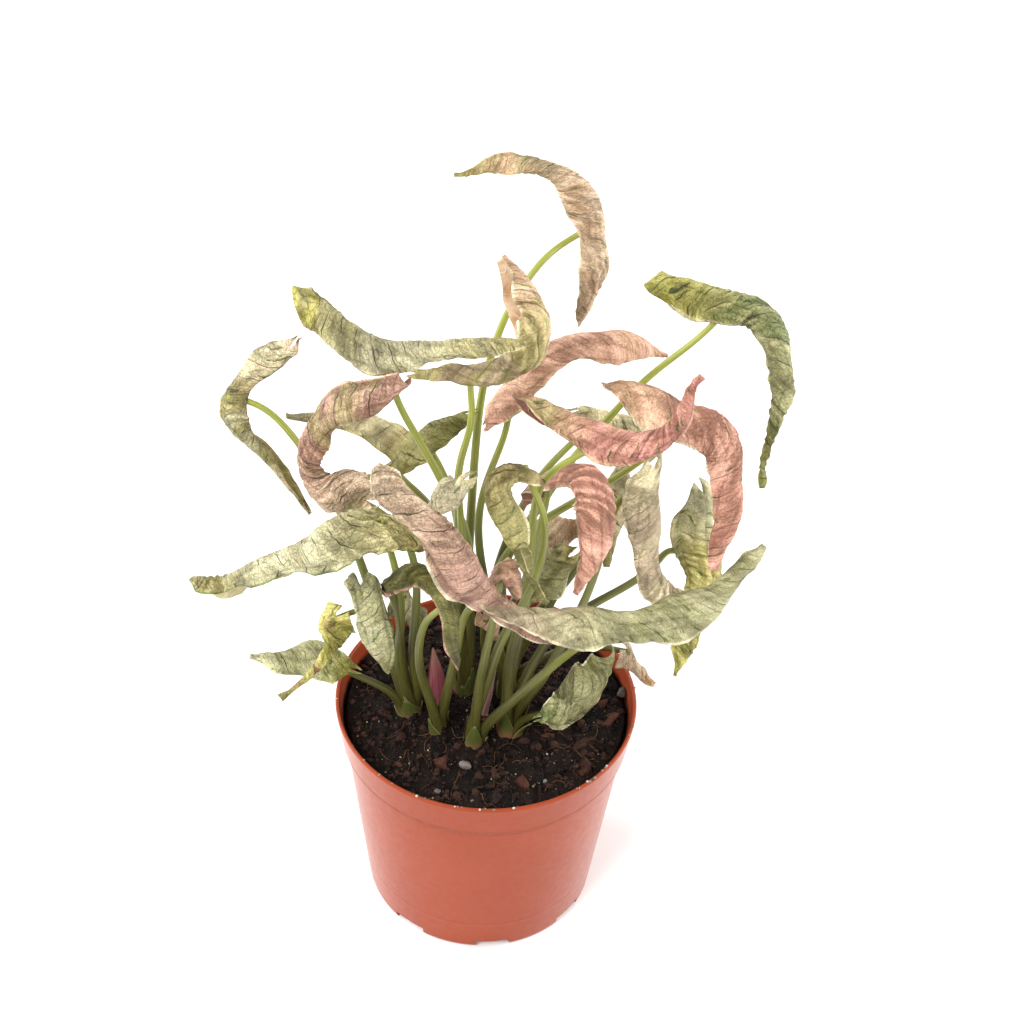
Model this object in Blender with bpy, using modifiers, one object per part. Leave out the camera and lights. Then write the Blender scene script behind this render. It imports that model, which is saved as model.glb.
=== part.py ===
"""Arrowhead plant in a round nursery pot, with one solid for each piece.

The leaves have dried and rolled up lengthwise. Each blade is a sheet whose
section is an arc, swept along a line that was read off the photograph, and
each leaf stalk runs from its shoot in the soil to its blade.

Units are metres and +Z is up. The origin is the centre of the pot's base.
"""

import math
from dataclasses import dataclass

import bmesh
import bpy
from mathutils import Matrix, Vector, noise

MM = 0.001

# Pot: a thin moulded pot with a deep straight collar
POT_HEIGHT = 0.100
RIM_RADIUS = 0.060
BASE_RADIUS = 0.0465
COLLAR_DEPTH = 0.017
COLLAR_RADIUS = 0.0576
WALL = 0.0016
LIP_DROP = 0.0010
COLLAR_STEP = 0.0014
NICK = 0.25 * WALL
LIP_SHOULDER = 0.7 * WALL
LIP_ROUND = 0.15 * LIP_DROP
BASE_BEVEL = 0.0012
POT_SIDES = 40
HUB_RADIUS = 0.020
FOOT_INNER = 0.038
FOOT_RISE = 0.0042
FLOOR = FOOT_RISE + WALL
FOOT_NOTCHES = 8
NOTCH_WIDTH = 0.014
NOTCH_HEIGHT = 0.0039
NOTCH_CLEAR = 0.005
NOTCH_TURN = math.radians(9)
DRAIN_RING = 0.029
DRAIN_RADIUS = 0.0030
DRAIN_HOLES = 8

# Soil: it fills the pot and stands a little lower than the rim
SOIL_LEVEL = POT_HEIGHT - 0.0075
SOIL_CROWN = 0.0015
SOIL_LUMP = 0.0016
SOIL_GRAIN = 0.011
SOIL_UNDERCUT = 0.0005
FINER_LUMPS = 2.3
FINER_SHARE = 0.6
SOIL_RINGS = 6
GAP = 0.0003
HOLE_SIDES = 12
HOLE_CLEAR = 0.010

# Shoots: a short sheathed crown that stands in the soil, with the stalks
CROWN_RADIUS = 0.0045
CROWN_DEPTH = 0.016
CROWN_RISE = 0.0025
STALK_BASE_RADIUS = 0.0026
STALK_TIP_RADIUS = 0.0011
STALK_TAPER = 0.6
STALK_SPREAD = 0.0016
STALK_FOOT = 0.001
STALK_STAND = 0.010
STALK_SPACING = 0.012
STALK_CROWDING = 1.3
MOST_ASLANT = 0.8
MOST_ASIDE = 0.25
SEAT_CLEAR = 0.0018
FEWEST_STALK_POINTS = 7
MOST_STALK_POINTS = 15

# Young leaves: their radius at each point from the foot to the tip, as shares
YOUNG_SHARES = (0.8, 0.8, 1.0, 0.9, 0.6, 0.25)
YOUNG_COLLAR = 0.006
YOUNG_BOW = 0.002
YOUNG_NECK = 0.6

# Blades
BLADE_THICKNESS = 0.0008
TIP_WIDTH = 0.0020
STATION_SPACING = 0.0115
FEWEST_STATIONS = 6
MOST_STATIONS = 13
ACROSS = 6
ACROSS_NARROW = 4
NARROW = 0.010
END_CURL = 48.0
END_SHARE = 0.20
RIPPLE = 0.09
RIPPLE_LENGTH = 0.040
FEWEST_RIPPLES = 1.5
MARGIN_WAVE = 0.0020
WAVE_RATES = (0.8, 1.3)
HALF_ARC_STEPS = 8
DIRECTION_STEP = 0.03
SINUS = 0.008
SINUS_HALF = 0.5
SINUS_LIMIT = 0.7

SHARP_ANGLE = math.radians(50)
MERGE_DISTANCE = 0.00005
FINE_MERGE = 0.000001

# The view that the leaves' places were read from. Pixels are those of the
# square photograph, 1024 wide, and the rest is metres and degrees.
VIEW_FOCAL = 2260.4
VIEW_CENTRE = 512.0
VIEW_DISTANCE = 0.900
VIEW_LIFT = math.radians(41.41)
VIEW_ROLL = math.radians(2.81)
VIEW_ASIDE = 0.01023
VIEW_ABOVE = 0.07336

FORWARD = Vector((0.0, math.cos(VIEW_LIFT), -math.sin(VIEW_LIFT)))
LEVEL_UP = Vector((0.0, math.sin(VIEW_LIFT), math.cos(VIEW_LIFT)))
RIGHT = math.cos(VIEW_ROLL) * Vector((1.0, 0.0, 0.0)) + math.sin(VIEW_ROLL) * LEVEL_UP
UP = math.cos(VIEW_ROLL) * LEVEL_UP - math.sin(VIEW_ROLL) * Vector((1.0, 0.0, 0.0))
EYE = (
    Vector((0.0, 0.0, POT_HEIGHT))
    - VIEW_DISTANCE * FORWARD
    + VIEW_ASIDE * RIGHT
    + VIEW_ABOVE * UP
)


@dataclass(frozen=True)
class Leaf:
    """A rolled blade and its stalk.

    line: the middle of the blade as (pixel x, pixel y, width in pixels, how far
        back it is in millimetres), from one end to the other.
    opens: the direction, in degrees in the picture, that the open side looks.
    turned: degrees between that and straight away from the eye.
    curl: half the angle of the arc that the blade is rolled to.
    joint: where along the line the stalk meets the blade. The lobes are at the
        end nearer to it.
    shoot: the shoot that the stalk grows from.
    stalk: pixels that the stalk passes, from its shoot to its blade.
    """

    name: str
    colour: str
    line: tuple
    opens: float
    turned: float
    curl: float
    joint: float
    shoot: str
    stalk: tuple


SHOOTS = {
    "shoot_left": (-0.030, -0.004),
    "shoot_front_left": (-0.018, -0.014),
    "shoot_front": (-0.004, -0.020),
    "shoot_right": (0.009, -0.013),
    "shoot_middle": (-0.009, 0.008),
    "shoot_back_right": (0.009, 0.006),
}

# Young leaves still rolled in their sheaths: foot, tip and thickest radius
SHEATHS = {
    "young_leaf_middle": ((-0.019, -0.001), (433, 648, -7), 0.0040),
    "young_leaf_left": ((-0.031, 0.0075), (411, 664, 4), 0.0026),
    "young_leaf_right": ((-0.001, -0.005), (497, 662, -8), 0.0026),
}

PEACH = "#d8b48c"
CREAM = "#c9c39a"
PINK = "#d99a88"
ROSE = "#c9807f"
DUSTY = "#c09a86"
OLIVE = "#7d7f4c"
SAGE = "#a5ab84"
LIME = "#b3b565"
BROWN = "#a0775c"

LEAVES = (
    Leaf(
        "leaf_top", PEACH,
        ((577, 326, 5, 60), (583, 306, 14, 62), (590, 286, 20, 64), (594, 266, 28, 68),
         (589, 238, 35, 72), (585, 211, 37, 75), (572, 189, 30, 75), (553, 175, 24, 75),
         (530, 166, 20, 75), (499, 165, 16, 74), (470, 173, 8, 70), (454, 175, 3, 69)),
        215, 50, 115, 0.40, "shoot_middle",
        ((473, 480), (477, 430), (482, 385), (490, 358), (504, 315), (524, 283), (543, 258)),
    ),
    Leaf(
        "leaf_left_roll", SAGE,
        ((294, 294, 28, 9), (308, 306, 34, 6), (325, 322, 36, 3), (345, 338, 36, -3),
         (366, 350, 32, -8), (390, 354, 28, -12), (415, 354, 27, -16), (440, 352, 25, -21),
         (470, 348, 20, -27), (500, 345, 11, -30), (526, 342, 3, -30)),
        265, 50, 115, 0.42, "shoot_middle",
        ((470, 545), (445, 490), (430, 458), (408, 422), (394, 400)),
    ),
    Leaf(
        "leaf_upright_turn", PEACH,
        ((405, 374, 8, 3), (440, 374, 15, -2), (480, 371, 26, -6), (508, 366, 28, -6),
         (528, 352, 34, -6), (533, 330, 40, 0), (527, 308, 34, 8), (516, 284, 26, 14),
         (501, 258, 12, 20)),
        165, 45, 108, 0.34, "shoot_middle",
        ((457, 480), (465, 445), (478, 412)),
    ),
    Leaf(
        "leaf_salmon_arch", PINK,
        ((486, 430, 12, 18), (500, 408, 24, 21), (520, 386, 28, 24), (545, 364, 30, 27),
         (572, 348, 30, 30), (600, 343, 28, 34), (630, 346, 24, 40), (650, 351, 16, 45),
         (668, 356, 5, 48)),
        300, 50, 115, 0.22, "shoot_back_right",
        ((478, 545), (482, 490), (494, 462), (508, 432)),
    ),
    Leaf(
        "leaf_right_hook", OLIVE,
        ((647, 290, 24, 40), (672, 291, 30, 39), (700, 300, 32, 38), (728, 307, 38, 34),
         (752, 315, 36, 32), (771, 333, 30, 27), (781, 358, 22, 21), (784, 385, 22, 16),
         (778, 412, 18, 10), (770, 440, 12, 8), (763, 466, 7, 4), (763, 488, 3, 3)),
        235, 50, 112, 0.30, "shoot_back_right",
        ((500, 570), (535, 515), (570, 460), (603, 425), (640, 383), (670, 358), (700, 342)),
    ),
    Leaf(
        "leaf_big_pink", PINK,
        ((601, 385, 8, 8), (620, 391, 22, 8), (650, 406, 38, 8), (680, 420, 44, 8),
         (706, 431, 44, 6), (724, 453, 38, 2), (730, 485, 28, -4), (728, 520, 26, -10),
         (719, 548, 24, -15), (712, 570, 14, -18)),
        230, 45, 108, 0.38, "shoot_back_right",
        ((490, 590), (520, 535), (550, 515), (580, 500), (607, 482), (640, 464)),
    ),
    Leaf(
        "leaf_magenta_tail", ROSE,
        ((512, 394, 6, -12), (530, 406, 22, -14), (555, 419, 26, -15), (583, 431, 30, -18),
         (612, 443, 30, -21), (640, 447, 28, -24), (663, 440, 28, -26), (679, 424, 22, -26),
         (686, 403, 14, -24), (692, 387, 9, -22), (702, 376, 4, -21)),
        270, 50, 110, 0.46, "shoot_right",
        ((508, 660), (524, 610), (532, 550), (533, 500), (545, 469), (568, 458)),
    ),
    Leaf(
        "leaf_olive_hook", OLIVE,
        ((538, 479, 10, -30), (526, 474, 18, -34), (510, 475, 26, -39), (501, 488, 34, -42),
         (505, 509, 31, -44), (513, 532, 24, -44), (522, 556, 16, -42), (532, 580, 8, -40),
         (545, 603, 3, -39)),
        300, 40, 105, 0.12, "shoot_front",
        ((491, 672), (500, 640), (533, 588), (546, 540), (546, 505)),
    ),
    Leaf(
        "leaf_pink_hook", ROSE,
        ((526, 511, 14, 3), (543, 488, 22, -2), (566, 476, 26, -9), (588, 483, 34, -18),
         (599, 505, 36, -24), (598, 530, 34, -27), (592, 555, 28, -28), (583, 576, 18, -27),
         (575, 594, 6, -27)),
        240, 45, 105, 0.26, "shoot_right",
        ((516, 650), (527, 600), (535, 550), (540, 516)),
    ),
    Leaf(
        "leaf_beige_strip", CREAM,
        ((648, 454, 24, -8), (645, 480, 32, -8), (643, 510, 33, -9), (644, 540, 31, -10),
         (649, 566, 28, -12), (659, 588, 23, -12), (676, 596, 15, -10), (695, 594, 7, -9)),
        180, 40, 90, 0.14, "shoot_right",
        ((514, 710), (538, 688), (560, 648), (590, 590), (612, 515)),
    ),
    Leaf(
        "leaf_lime_wavy", LIME,
        ((693, 480, 14, 21), (696, 502, 34, 18), (694, 528, 40, 15), (698, 553, 40, 12),
         (702, 578, 36, 6), (697, 605, 30, 0), (688, 632, 24, -4), (682, 655, 15, -8),
         (675, 676, 4, -9)),
        180, 35, 85, 0.42, "shoot_right",
        ((520, 690), (545, 640), (575, 612), (610, 596), (640, 579), (662, 564)),
    ),
    Leaf(
        "leaf_long_sage", SAGE,
        ((478, 606, 6, -63), (508, 614, 16, -66), (545, 621, 26, -66), (583, 627, 40, -63),
         (620, 629, 40, -60), (652, 622, 38, -56), (687, 611, 36, -50), (715, 594, 32, -44),
         (738, 573, 24, -39), (755, 556, 14, -36), (764, 545, 4, -34)),
        285, 40, 100, 0.40, "shoot_front",
        ((482, 728), (516, 698), (560, 660)),
    ),
    Leaf(
        "leaf_dusty_band", DUSTY,
        ((376, 466, 8, -42), (389, 484, 30, -50), (413, 511, 37, -57), (438, 539, 40, -60),
         (457, 565, 42, -57), (478, 592, 36, -51), (508, 614, 22, -46), (535, 632, 14, -44),
         (560, 645, 5, -40)),
        250, 35, 100, 0.66, "shoot_front_left",
        ((446, 700), (452, 670), (459, 640), (465, 605)),
    ),
    Leaf(
        "leaf_long_pale_left", CREAM,
        ((420, 540, 14, -33), (398, 533, 36, -42), (370, 536, 50, -46), (340, 544, 52, -46),
         (308, 555, 38, -42), (275, 566, 26, -38), (248, 576, 22, -33), (230, 585, 24, -30),
         (212, 586, 20, -27), (194, 579, 6, -24)),
        285, 40, 100, 0.20, "shoot_left",
        ((396, 665), (402, 620), (398, 580)),
    ),
    Leaf(
        "leaf_pink_sickle", DUSTY,
        ((405, 379, 18, -22), (384, 389, 29, -21), (355, 404, 34, -20), (328, 420, 32, -16),
         (312, 444, 26, -15), (313, 467, 28, -15), (327, 485, 38, -18), (350, 490, 40, -21),
         (372, 498, 24, -26), (382, 503, 8, -27)),
        340, 45, 105, 0.74, "shoot_left",
        ((424, 700), (411, 663), (415, 625), (417, 575), (402, 525)),
    ),
    Leaf(
        "leaf_far_left", OLIVE,
        ((300, 336, 8, 9), (283, 351, 18, 8), (262, 369, 27, 6), (242, 389, 30, 4),
         (233, 409, 28, 3), (242, 429, 19, 2), (260, 448, 15, 0), (280, 470, 13, -3),
         (297, 492, 10, -4), (310, 514, 3, -6)),
        0, 45, 100, 0.38, "shoot_left",
        ((398, 680), (380, 620), (360, 560), (330, 490), (300, 445), (275, 412)),
    ),
    Leaf(
        "leaf_yellow_behind", LIME,
        ((286, 415, 5, 27), (310, 418, 12, 28), (335, 421, 18, 30), (362, 424, 24, 33),
         (385, 434, 26, 36), (403, 448, 32, 39), (412, 463, 14, 39)),
        270, 30, 75, 0.78, "shoot_middle",
        ((466, 600), (448, 540), (428, 495)),
    ),
    Leaf(
        "leaf_olive_arm", OLIVE,
        ((368, 477, 6, 18), (392, 468, 14, 18), (415, 452, 24, 20), (440, 434, 28, 21),
         (463, 419, 18, 22), (478, 410, 5, 22)),
        300, 45, 100, 0.55, "shoot_middle",
        ((470, 600), (458, 530), (450, 480)),
    ),
    Leaf(
        "leaf_pale_wedge", SAGE,
        ((478, 473, 7, -21), (462, 486, 24, -21), (446, 498, 30, -20), (430, 510, 12, -18)),
        260, 30, 75, 0.34, "shoot_middle",
        ((472, 640), (466, 570), (460, 520)),
    ),
    Leaf(
        "leaf_hanging_pale", CREAM,
        ((363, 571, 26, -27), (368, 592, 36, -30), (373, 618, 36, -32), (380, 645, 28, -33),
         (384, 664, 8, -32)),
        20, 35, 75, 0.16, "shoot_left",
        ((402, 680), (400, 620), (390, 588)),
    ),
    Leaf(
        "leaf_crumpled_curl", LIME,
        ((347, 609, 18, -18), (338, 625, 30, -20), (334, 645, 24, -24), (318, 666, 10, -28),
         (300, 684, 6, -33), (281, 699, 3, -38)),
        0, 40, 95, 0.14, "shoot_left",
        ((402, 680), (394, 635), (374, 607)),
    ),
    Leaf(
        "leaf_low_left", LIME,
        ((362, 672, 8, -12), (345, 668, 24, -10), (325, 666, 34, -9), (300, 664, 32, -9),
         (275, 660, 20, -9), (250, 656, 5, -9)),
        285, 30, 75, 0.30, "shoot_left",
        ((398, 692), (375, 680)),
    ),
    Leaf(
        "leaf_olive_arch", OLIVE,
        ((386, 592, 10, -42), (400, 578, 18, -45), (420, 574, 22, -46), (438, 590, 24, -50),
         (449, 615, 20, -51), (452, 640, 13, -50), (458, 663, 5, -46)),
        240, 45, 85, 0.48, "shoot_front_left",
        ((431, 702), (417, 660), (424, 622)),
    ),
    Leaf(
        "leaf_small_fan", SAGE,
        ((390, 590, 14, 3), (403, 603, 30, 2), (415, 620, 26, 0), (423, 636, 8, 0)),
        240, 30, 75, 0.20, "shoot_left",
        ((404, 670), (398, 630)),
    ),
    Leaf(
        "leaf_low_right", SAGE,
        ((533, 720, 8, -30), (547, 713, 20, -24), (560, 704, 30, -14), (579, 687, 36, -8),
         (595, 668, 36, -3), (604, 653, 16, -2)),
        160, 30, 65, 0.24, "shoot_right",
        ((524, 712),),
    ),
    Leaf(
        "leaf_over_rim", BROWN,
        ((619, 647, 12, 10), (627, 658, 20, 9), (638, 672, 14, 6), (655, 684, 4, 3)),
        240, 40, 85, 0.20, "shoot_back_right",
        ((505, 680), (542, 656), (585, 642)),
    ),
    Leaf(
        "leaf_brown_middle", BROWN,
        ((516, 566, 12, 30), (532, 552, 30, 32), (552, 538, 36, 33), (572, 527, 26, 34),
         (584, 520, 10, 36)),
        300, 35, 85, 0.30, "shoot_back_right",
        ((496, 640), (510, 600)),
    ),
    Leaf(
        "leaf_olive_middle", OLIVE,
        ((580, 548, 8, 0), (565, 561, 30, -2), (549, 578, 44, -3), (533, 594, 28, -4),
         (522, 605, 8, -4)),
        250, 25, 65, 0.30, "shoot_back_right",
        ((508, 672), (532, 632)),
    ),
    Leaf(
        "leaf_pink_scrap", PINK,
        ((490, 579, 9, -33), (504, 571, 23, -38), (516, 582, 20, -38), (515, 599, 5, -38)),
        260, 25, 62, 0.40, "shoot_front",
        ((478, 690), (490, 635)),
    ),
    Leaf(
        "leaf_green_behind", LIME,
        ((566, 413, 8, 39), (590, 416, 18, 39), (615, 425, 24, 38), (640, 440, 26, 36),
         (655, 458, 10, 33)),
        250, 35, 85, 0.40, "shoot_back_right",
        ((490, 600), (515, 520), (550, 460), (585, 438)),
    ),
    Leaf(
        "leaf_pale_strip", CREAM,
        ((618, 455, 10, 27), (620, 480, 24, 26), (616, 510, 26, 22), (610, 540, 20, 18),
         (606, 567, 6, 14)),
        200, 35, 85, 0.24, "shoot_back_right",
        ((505, 640), (560, 592), (600, 530)),
    ),
    Leaf(
        "leaf_peach_lobe", PEACH,
        ((479, 608, 8, -6), (488, 623, 20, -6), (499, 639, 5, -4)),
        300, 25, 62, 0.30, "shoot_middle",
        ((488, 680), (484, 650)),
    ),
)


def seen(px, py, back):
    """The point that shows at a pixel and lies back millimetres behind the middle."""
    ray = (
        FORWARD
        + (px - VIEW_CENTRE) / VIEW_FOCAL * RIGHT
        - (py - VIEW_CENTRE) / VIEW_FOCAL * UP
    )
    return EYE + ray * ((back * MM - EYE.y) / ray.y)


def seen_width(pixels, place):
    """The real width of something that many pixels wide at a place."""
    return pixels * (place - EYE).dot(FORWARD) / VIEW_FOCAL


def smooth_line(points, steps=16):
    """Evenly many steps of a smooth curve through points, of any dimension."""
    ends = [2 * points[0] - points[1], *points, 2 * points[-1] - points[-2]]
    line = []
    for p0, p1, p2, p3 in zip(ends, ends[1:], ends[2:], ends[3:]):
        for step in range(steps):
            t = step / steps
            line.append(
                0.5 * (2 * p1 + (p2 - p0) * t + (2 * p0 - 5 * p1 + 4 * p2 - p3) * t**2
                       + (3 * p1 - p0 - 3 * p2 + p3) * t**3)
            )
    line.append(points[-1].copy())
    return line


class Roll:
    """The surface of a rolled blade, as a function of its length and width."""

    def __init__(self, leaf):
        stations = []
        for px, py, width, back in leaf.line:
            place = seen(px, py, back)
            stations.append(Vector((*place, max(seen_width(width, place), TIP_WIDTH))))
        self.widest = max(station.w for station in stations)
        self.line = smooth_line(stations)
        self.reach = [0.0]
        for one, other in zip(self.line, self.line[1:]):
            self.reach.append(self.reach[-1] + (other - one).xyz.length)
        self.length = self.reach[-1]
        self.curl = leaf.curl
        self.joint = leaf.joint
        self.sinus = min(SINUS / self.length, SINUS_LIMIT * min(leaf.joint, 1 - leaf.joint))
        self.ripples = max(FEWEST_RIPPLES, self.length / RIPPLE_LENGTH)
        self.phase = math.radians(3 * leaf.opens)
        opens = math.radians(leaf.opens)
        turned = math.radians(leaf.turned)
        picture = math.cos(opens) * RIGHT + math.sin(opens) * UP
        self.open_side = math.cos(turned) * FORWARD + math.sin(turned) * picture

    def station(self, share):
        """The middle of the blade and its width, a share of the way along."""
        goal = min(max(share, 0.0), 1.0) * self.length
        for i in range(len(self.line) - 1):
            if self.reach[i + 1] >= goal:
                break
        span = self.reach[i + 1] - self.reach[i]
        return self.line[i].lerp(self.line[i + 1], (goal - self.reach[i]) / span)

    def section(self, share):
        """The arc's middle, its bulge and side directions, radius and half angle.

        The arc is as large, and as far aside, as makes it look as wide as it
        does in the photograph, with its middle on the blade's line.
        """
        here = self.station(share)
        ahead, behind = self.station(share + DIRECTION_STEP), self.station(share - DIRECTION_STEP)
        along = (ahead - behind).xyz.normalized()
        bulge = -(self.open_side - self.open_side.dot(along) * along).normalized()
        across = bulge.cross(along)
        ends = min(1.0, min(share, 1.0 - share) / END_SHARE)
        half = math.radians(END_CURL + (self.curl - END_CURL) * math.sin(ends * math.pi / 2))
        sideways = along.cross(EYE - here.xyz).normalized()
        lean = math.atan2(bulge.dot(sideways), across.dot(sideways))
        shares = [i / HALF_ARC_STEPS for i in range(-HALF_ARC_STEPS, HALF_ARC_STEPS + 1)]
        seen_across = [math.sin(lean + half * part) for part in shares]
        ripple = 1 + RIPPLE * ends * math.sin(2 * math.pi * self.ripples * share + self.phase)
        radius = ripple * here.w / (max(seen_across) - min(seen_across))
        lift = radius * (1 + math.cos(half)) / 2
        aside = radius * (max(seen_across) + min(seen_across)) / 2 - math.sin(lean) * lift
        return here.xyz - lift * bulge - aside * sideways, bulge, across, radius, half

    def point(self, share, side):
        """A point of the outer face, side going from -1 to 1 across the blade."""
        middle, bulge, across, radius, half = self.section(share)
        angle = half * side
        size = min(1.0, 2 * radius / NARROW)
        turn = 2 * math.pi * self.ripples * share * WAVE_RATES[side > 0] + 2 * self.phase
        wave = MARGIN_WAVE * size * side * side * math.sin(turn)
        return middle + (radius + wave) * (math.sin(angle) * across + math.cos(angle) * bulge)

    def lobed(self, share, side):
        """The share moved off the notch between the lobes, at the end nearer the stalk."""
        notch = self.sinus * max(0.0, 1 - abs(side) / SINUS_HALF)
        if self.joint < 0.5:
            return share + notch * max(0.0, 1 - share / self.joint)
        return share - notch * max(0.0, 1 - (1 - share) / (1 - self.joint))

    def seat(self, share, comes):
        """Two points on the stalk's way in through the open side, and its end.

        comes is a point that the stalk comes from.
        """
        bulge, across, radius = self.section(share)[1:4]
        along = across.cross(bulge)
        wall = self.point(share, 0.0)
        way = comes - wall
        depth = max(-way.dot(bulge), MM)
        aslant = min(max(way.dot(along) / depth, -MOST_ASLANT), MOST_ASLANT)
        aside = min(max(way.dot(across) / depth, -MOST_ASIDE), MOST_ASIDE)
        way_in = aslant * along + aside * across - bulge
        return (
            wall + 2 * (radius + MM) * way_in,
            wall + (radius + MM) * way_in,
            wall - (BLADE_THICKNESS + SEAT_CLEAR) * bulge,
        )


def principled(name, colour, roughness):
    """A plain material of one colour, given as hexadecimal sRGB."""
    material = bpy.data.materials.new(name)
    material.use_nodes = True
    shader = material.node_tree.nodes["Principled BSDF"]
    channels = [int(colour[i:i + 2], 16) / 255 for i in (1, 3, 5)]
    linear = [c / 12.92 if c <= 0.04045 else ((c + 0.055) / 1.055) ** 2.4 for c in channels]
    shader.inputs["Base Color"].default_value = (*linear, 1.0)
    shader.inputs["Roughness"].default_value = roughness
    shader.inputs["Metallic"].default_value = 0.0
    return material


def add_object(name, mesh, collection, material=None):
    """An object in a collection, with its material."""
    obj = bpy.data.objects.new(name, mesh)
    if material:
        mesh.materials.append(material)
    collection.objects.link(obj)
    return obj


def new_collection(name, hidden=False):
    """A collection of the scene. A hidden one holds cutters and helpers."""
    collection = bpy.data.collections.new(name)
    collection.hide_render = hidden
    bpy.context.scene.collection.children.link(collection)
    return collection


def apply_modifiers(obj):
    """The object's mesh becomes what its modifiers make of it."""
    graph = bpy.context.evaluated_depsgraph_get()
    mesh = bpy.data.meshes.new_from_object(obj.evaluated_get(graph))
    obj.modifiers.clear()
    obj.data = mesh


def turned_mesh(name, profile, sides, collection, material):
    """A shape turned round Z from a profile of (radius, height) points."""
    bm = bmesh.new()
    verts = [bm.verts.new((radius, 0.0, height)) for radius, height in profile]
    for one, other in zip(verts, verts[1:]):
        bm.edges.new((one, other))
    mesh = bpy.data.meshes.new(name)
    bm.to_mesh(mesh)
    bm.free()
    obj = add_object(name, mesh, collection, material)
    screw = obj.modifiers.new("Turn", "SCREW")
    screw.steps = sides
    screw.render_steps = sides
    screw.use_merge_vertices = True
    screw.merge_threshold = MERGE_DISTANCE
    screw.use_smooth_shade = True
    return obj


def mark_cutter(obj):
    """Keeps a cutter out of the render."""
    obj.hide_render = True
    obj.display_type = "WIRE"


def cylinder(name, radius, low, high, place, collection, sides):
    """An upright cylinder, from one height to another."""
    bm = bmesh.new()
    bmesh.ops.create_cone(
        bm, cap_ends=True, segments=sides, radius1=radius, radius2=radius, depth=high - low,
        matrix=Matrix.Translation((place[0], place[1], (low + high) / 2)),
    )
    mesh = bpy.data.meshes.new(name)
    bm.to_mesh(mesh)
    bm.free()
    return add_object(name, mesh, collection)


def cut(obj, cutters):
    """Takes a collection of cutters out of an object."""
    boolean = obj.modifiers.new("Cuts", "BOOLEAN")
    boolean.operation = "DIFFERENCE"
    boolean.operand_type = "COLLECTION"
    boolean.collection = cutters


def build_pot(parts):
    """The pot, with its collar, its notched foot and its drain holes."""
    slope = (COLLAR_RADIUS - COLLAR_STEP - BASE_RADIUS) / (POT_HEIGHT - COLLAR_DEPTH)
    collar_low = POT_HEIGHT - COLLAR_DEPTH
    body_top = COLLAR_RADIUS - COLLAR_STEP
    profile = (
        (0.0, WALL),
        (HUB_RADIUS - WALL, WALL),
        (HUB_RADIUS, FLOOR),
        (BASE_RADIUS + slope * FLOOR - WALL, FLOOR),
        (body_top - WALL, collar_low + WALL),
        (COLLAR_RADIUS - WALL, collar_low + 2 * WALL),
        (RIM_RADIUS - WALL, POT_HEIGHT - LIP_DROP),
        (RIM_RADIUS - LIP_SHOULDER, POT_HEIGHT),
        (RIM_RADIUS - NICK, POT_HEIGHT - LIP_ROUND),
        (RIM_RADIUS, POT_HEIGHT - LIP_DROP),
        (COLLAR_RADIUS, collar_low + NICK),
        (COLLAR_RADIUS - NICK, collar_low),
        (body_top, collar_low - NICK),
        (BASE_RADIUS + slope * BASE_BEVEL, BASE_BEVEL),
        (BASE_RADIUS - BASE_BEVEL, 0.0),
        (FOOT_INNER, 0.0),
        (FOOT_INNER - NICK, FOOT_RISE),
        (HUB_RADIUS + NICK, FOOT_RISE),
        (HUB_RADIUS, 0.0),
        (0.0, 0.0),
    )
    pot = turned_mesh("pot", profile, POT_SIDES, parts, principled("Pot plastic", "#c5664a", 0.45))
    cutters = new_collection("Pot cutters", hidden=True)
    length = BASE_RADIUS - FOOT_INNER + 2 * NOTCH_CLEAR
    size = Matrix.Diagonal((length, NOTCH_WIDTH, 2 * NOTCH_HEIGHT, 1.0))
    middle = Matrix.Translation(((BASE_RADIUS + FOOT_INNER) / 2, 0.0, 0.0))
    for i in range(FOOT_NOTCHES):
        turn = Matrix.Rotation(2 * math.pi * i / FOOT_NOTCHES - math.pi / 2 + NOTCH_TURN, 4, "Z")
        bm = bmesh.new()
        bmesh.ops.create_cube(bm, size=1.0, matrix=turn @ middle @ size)
        mesh = bpy.data.meshes.new("notch_cutter")
        bm.to_mesh(mesh)
        bm.free()
        mark_cutter(add_object(f"notch_cutter_{i + 1}", mesh, cutters))
    for i in range(DRAIN_HOLES):
        angle = 2 * math.pi * i / DRAIN_HOLES
        place = (DRAIN_RING * math.cos(angle), DRAIN_RING * math.sin(angle))
        cutter = cylinder(
            f"drain_cutter_{i + 1}", DRAIN_RADIUS, FOOT_RISE / 2, 2 * FLOOR, place, cutters, 10
        )
        mark_cutter(cutter)
    cut(pot, cutters)
    return slope


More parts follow.
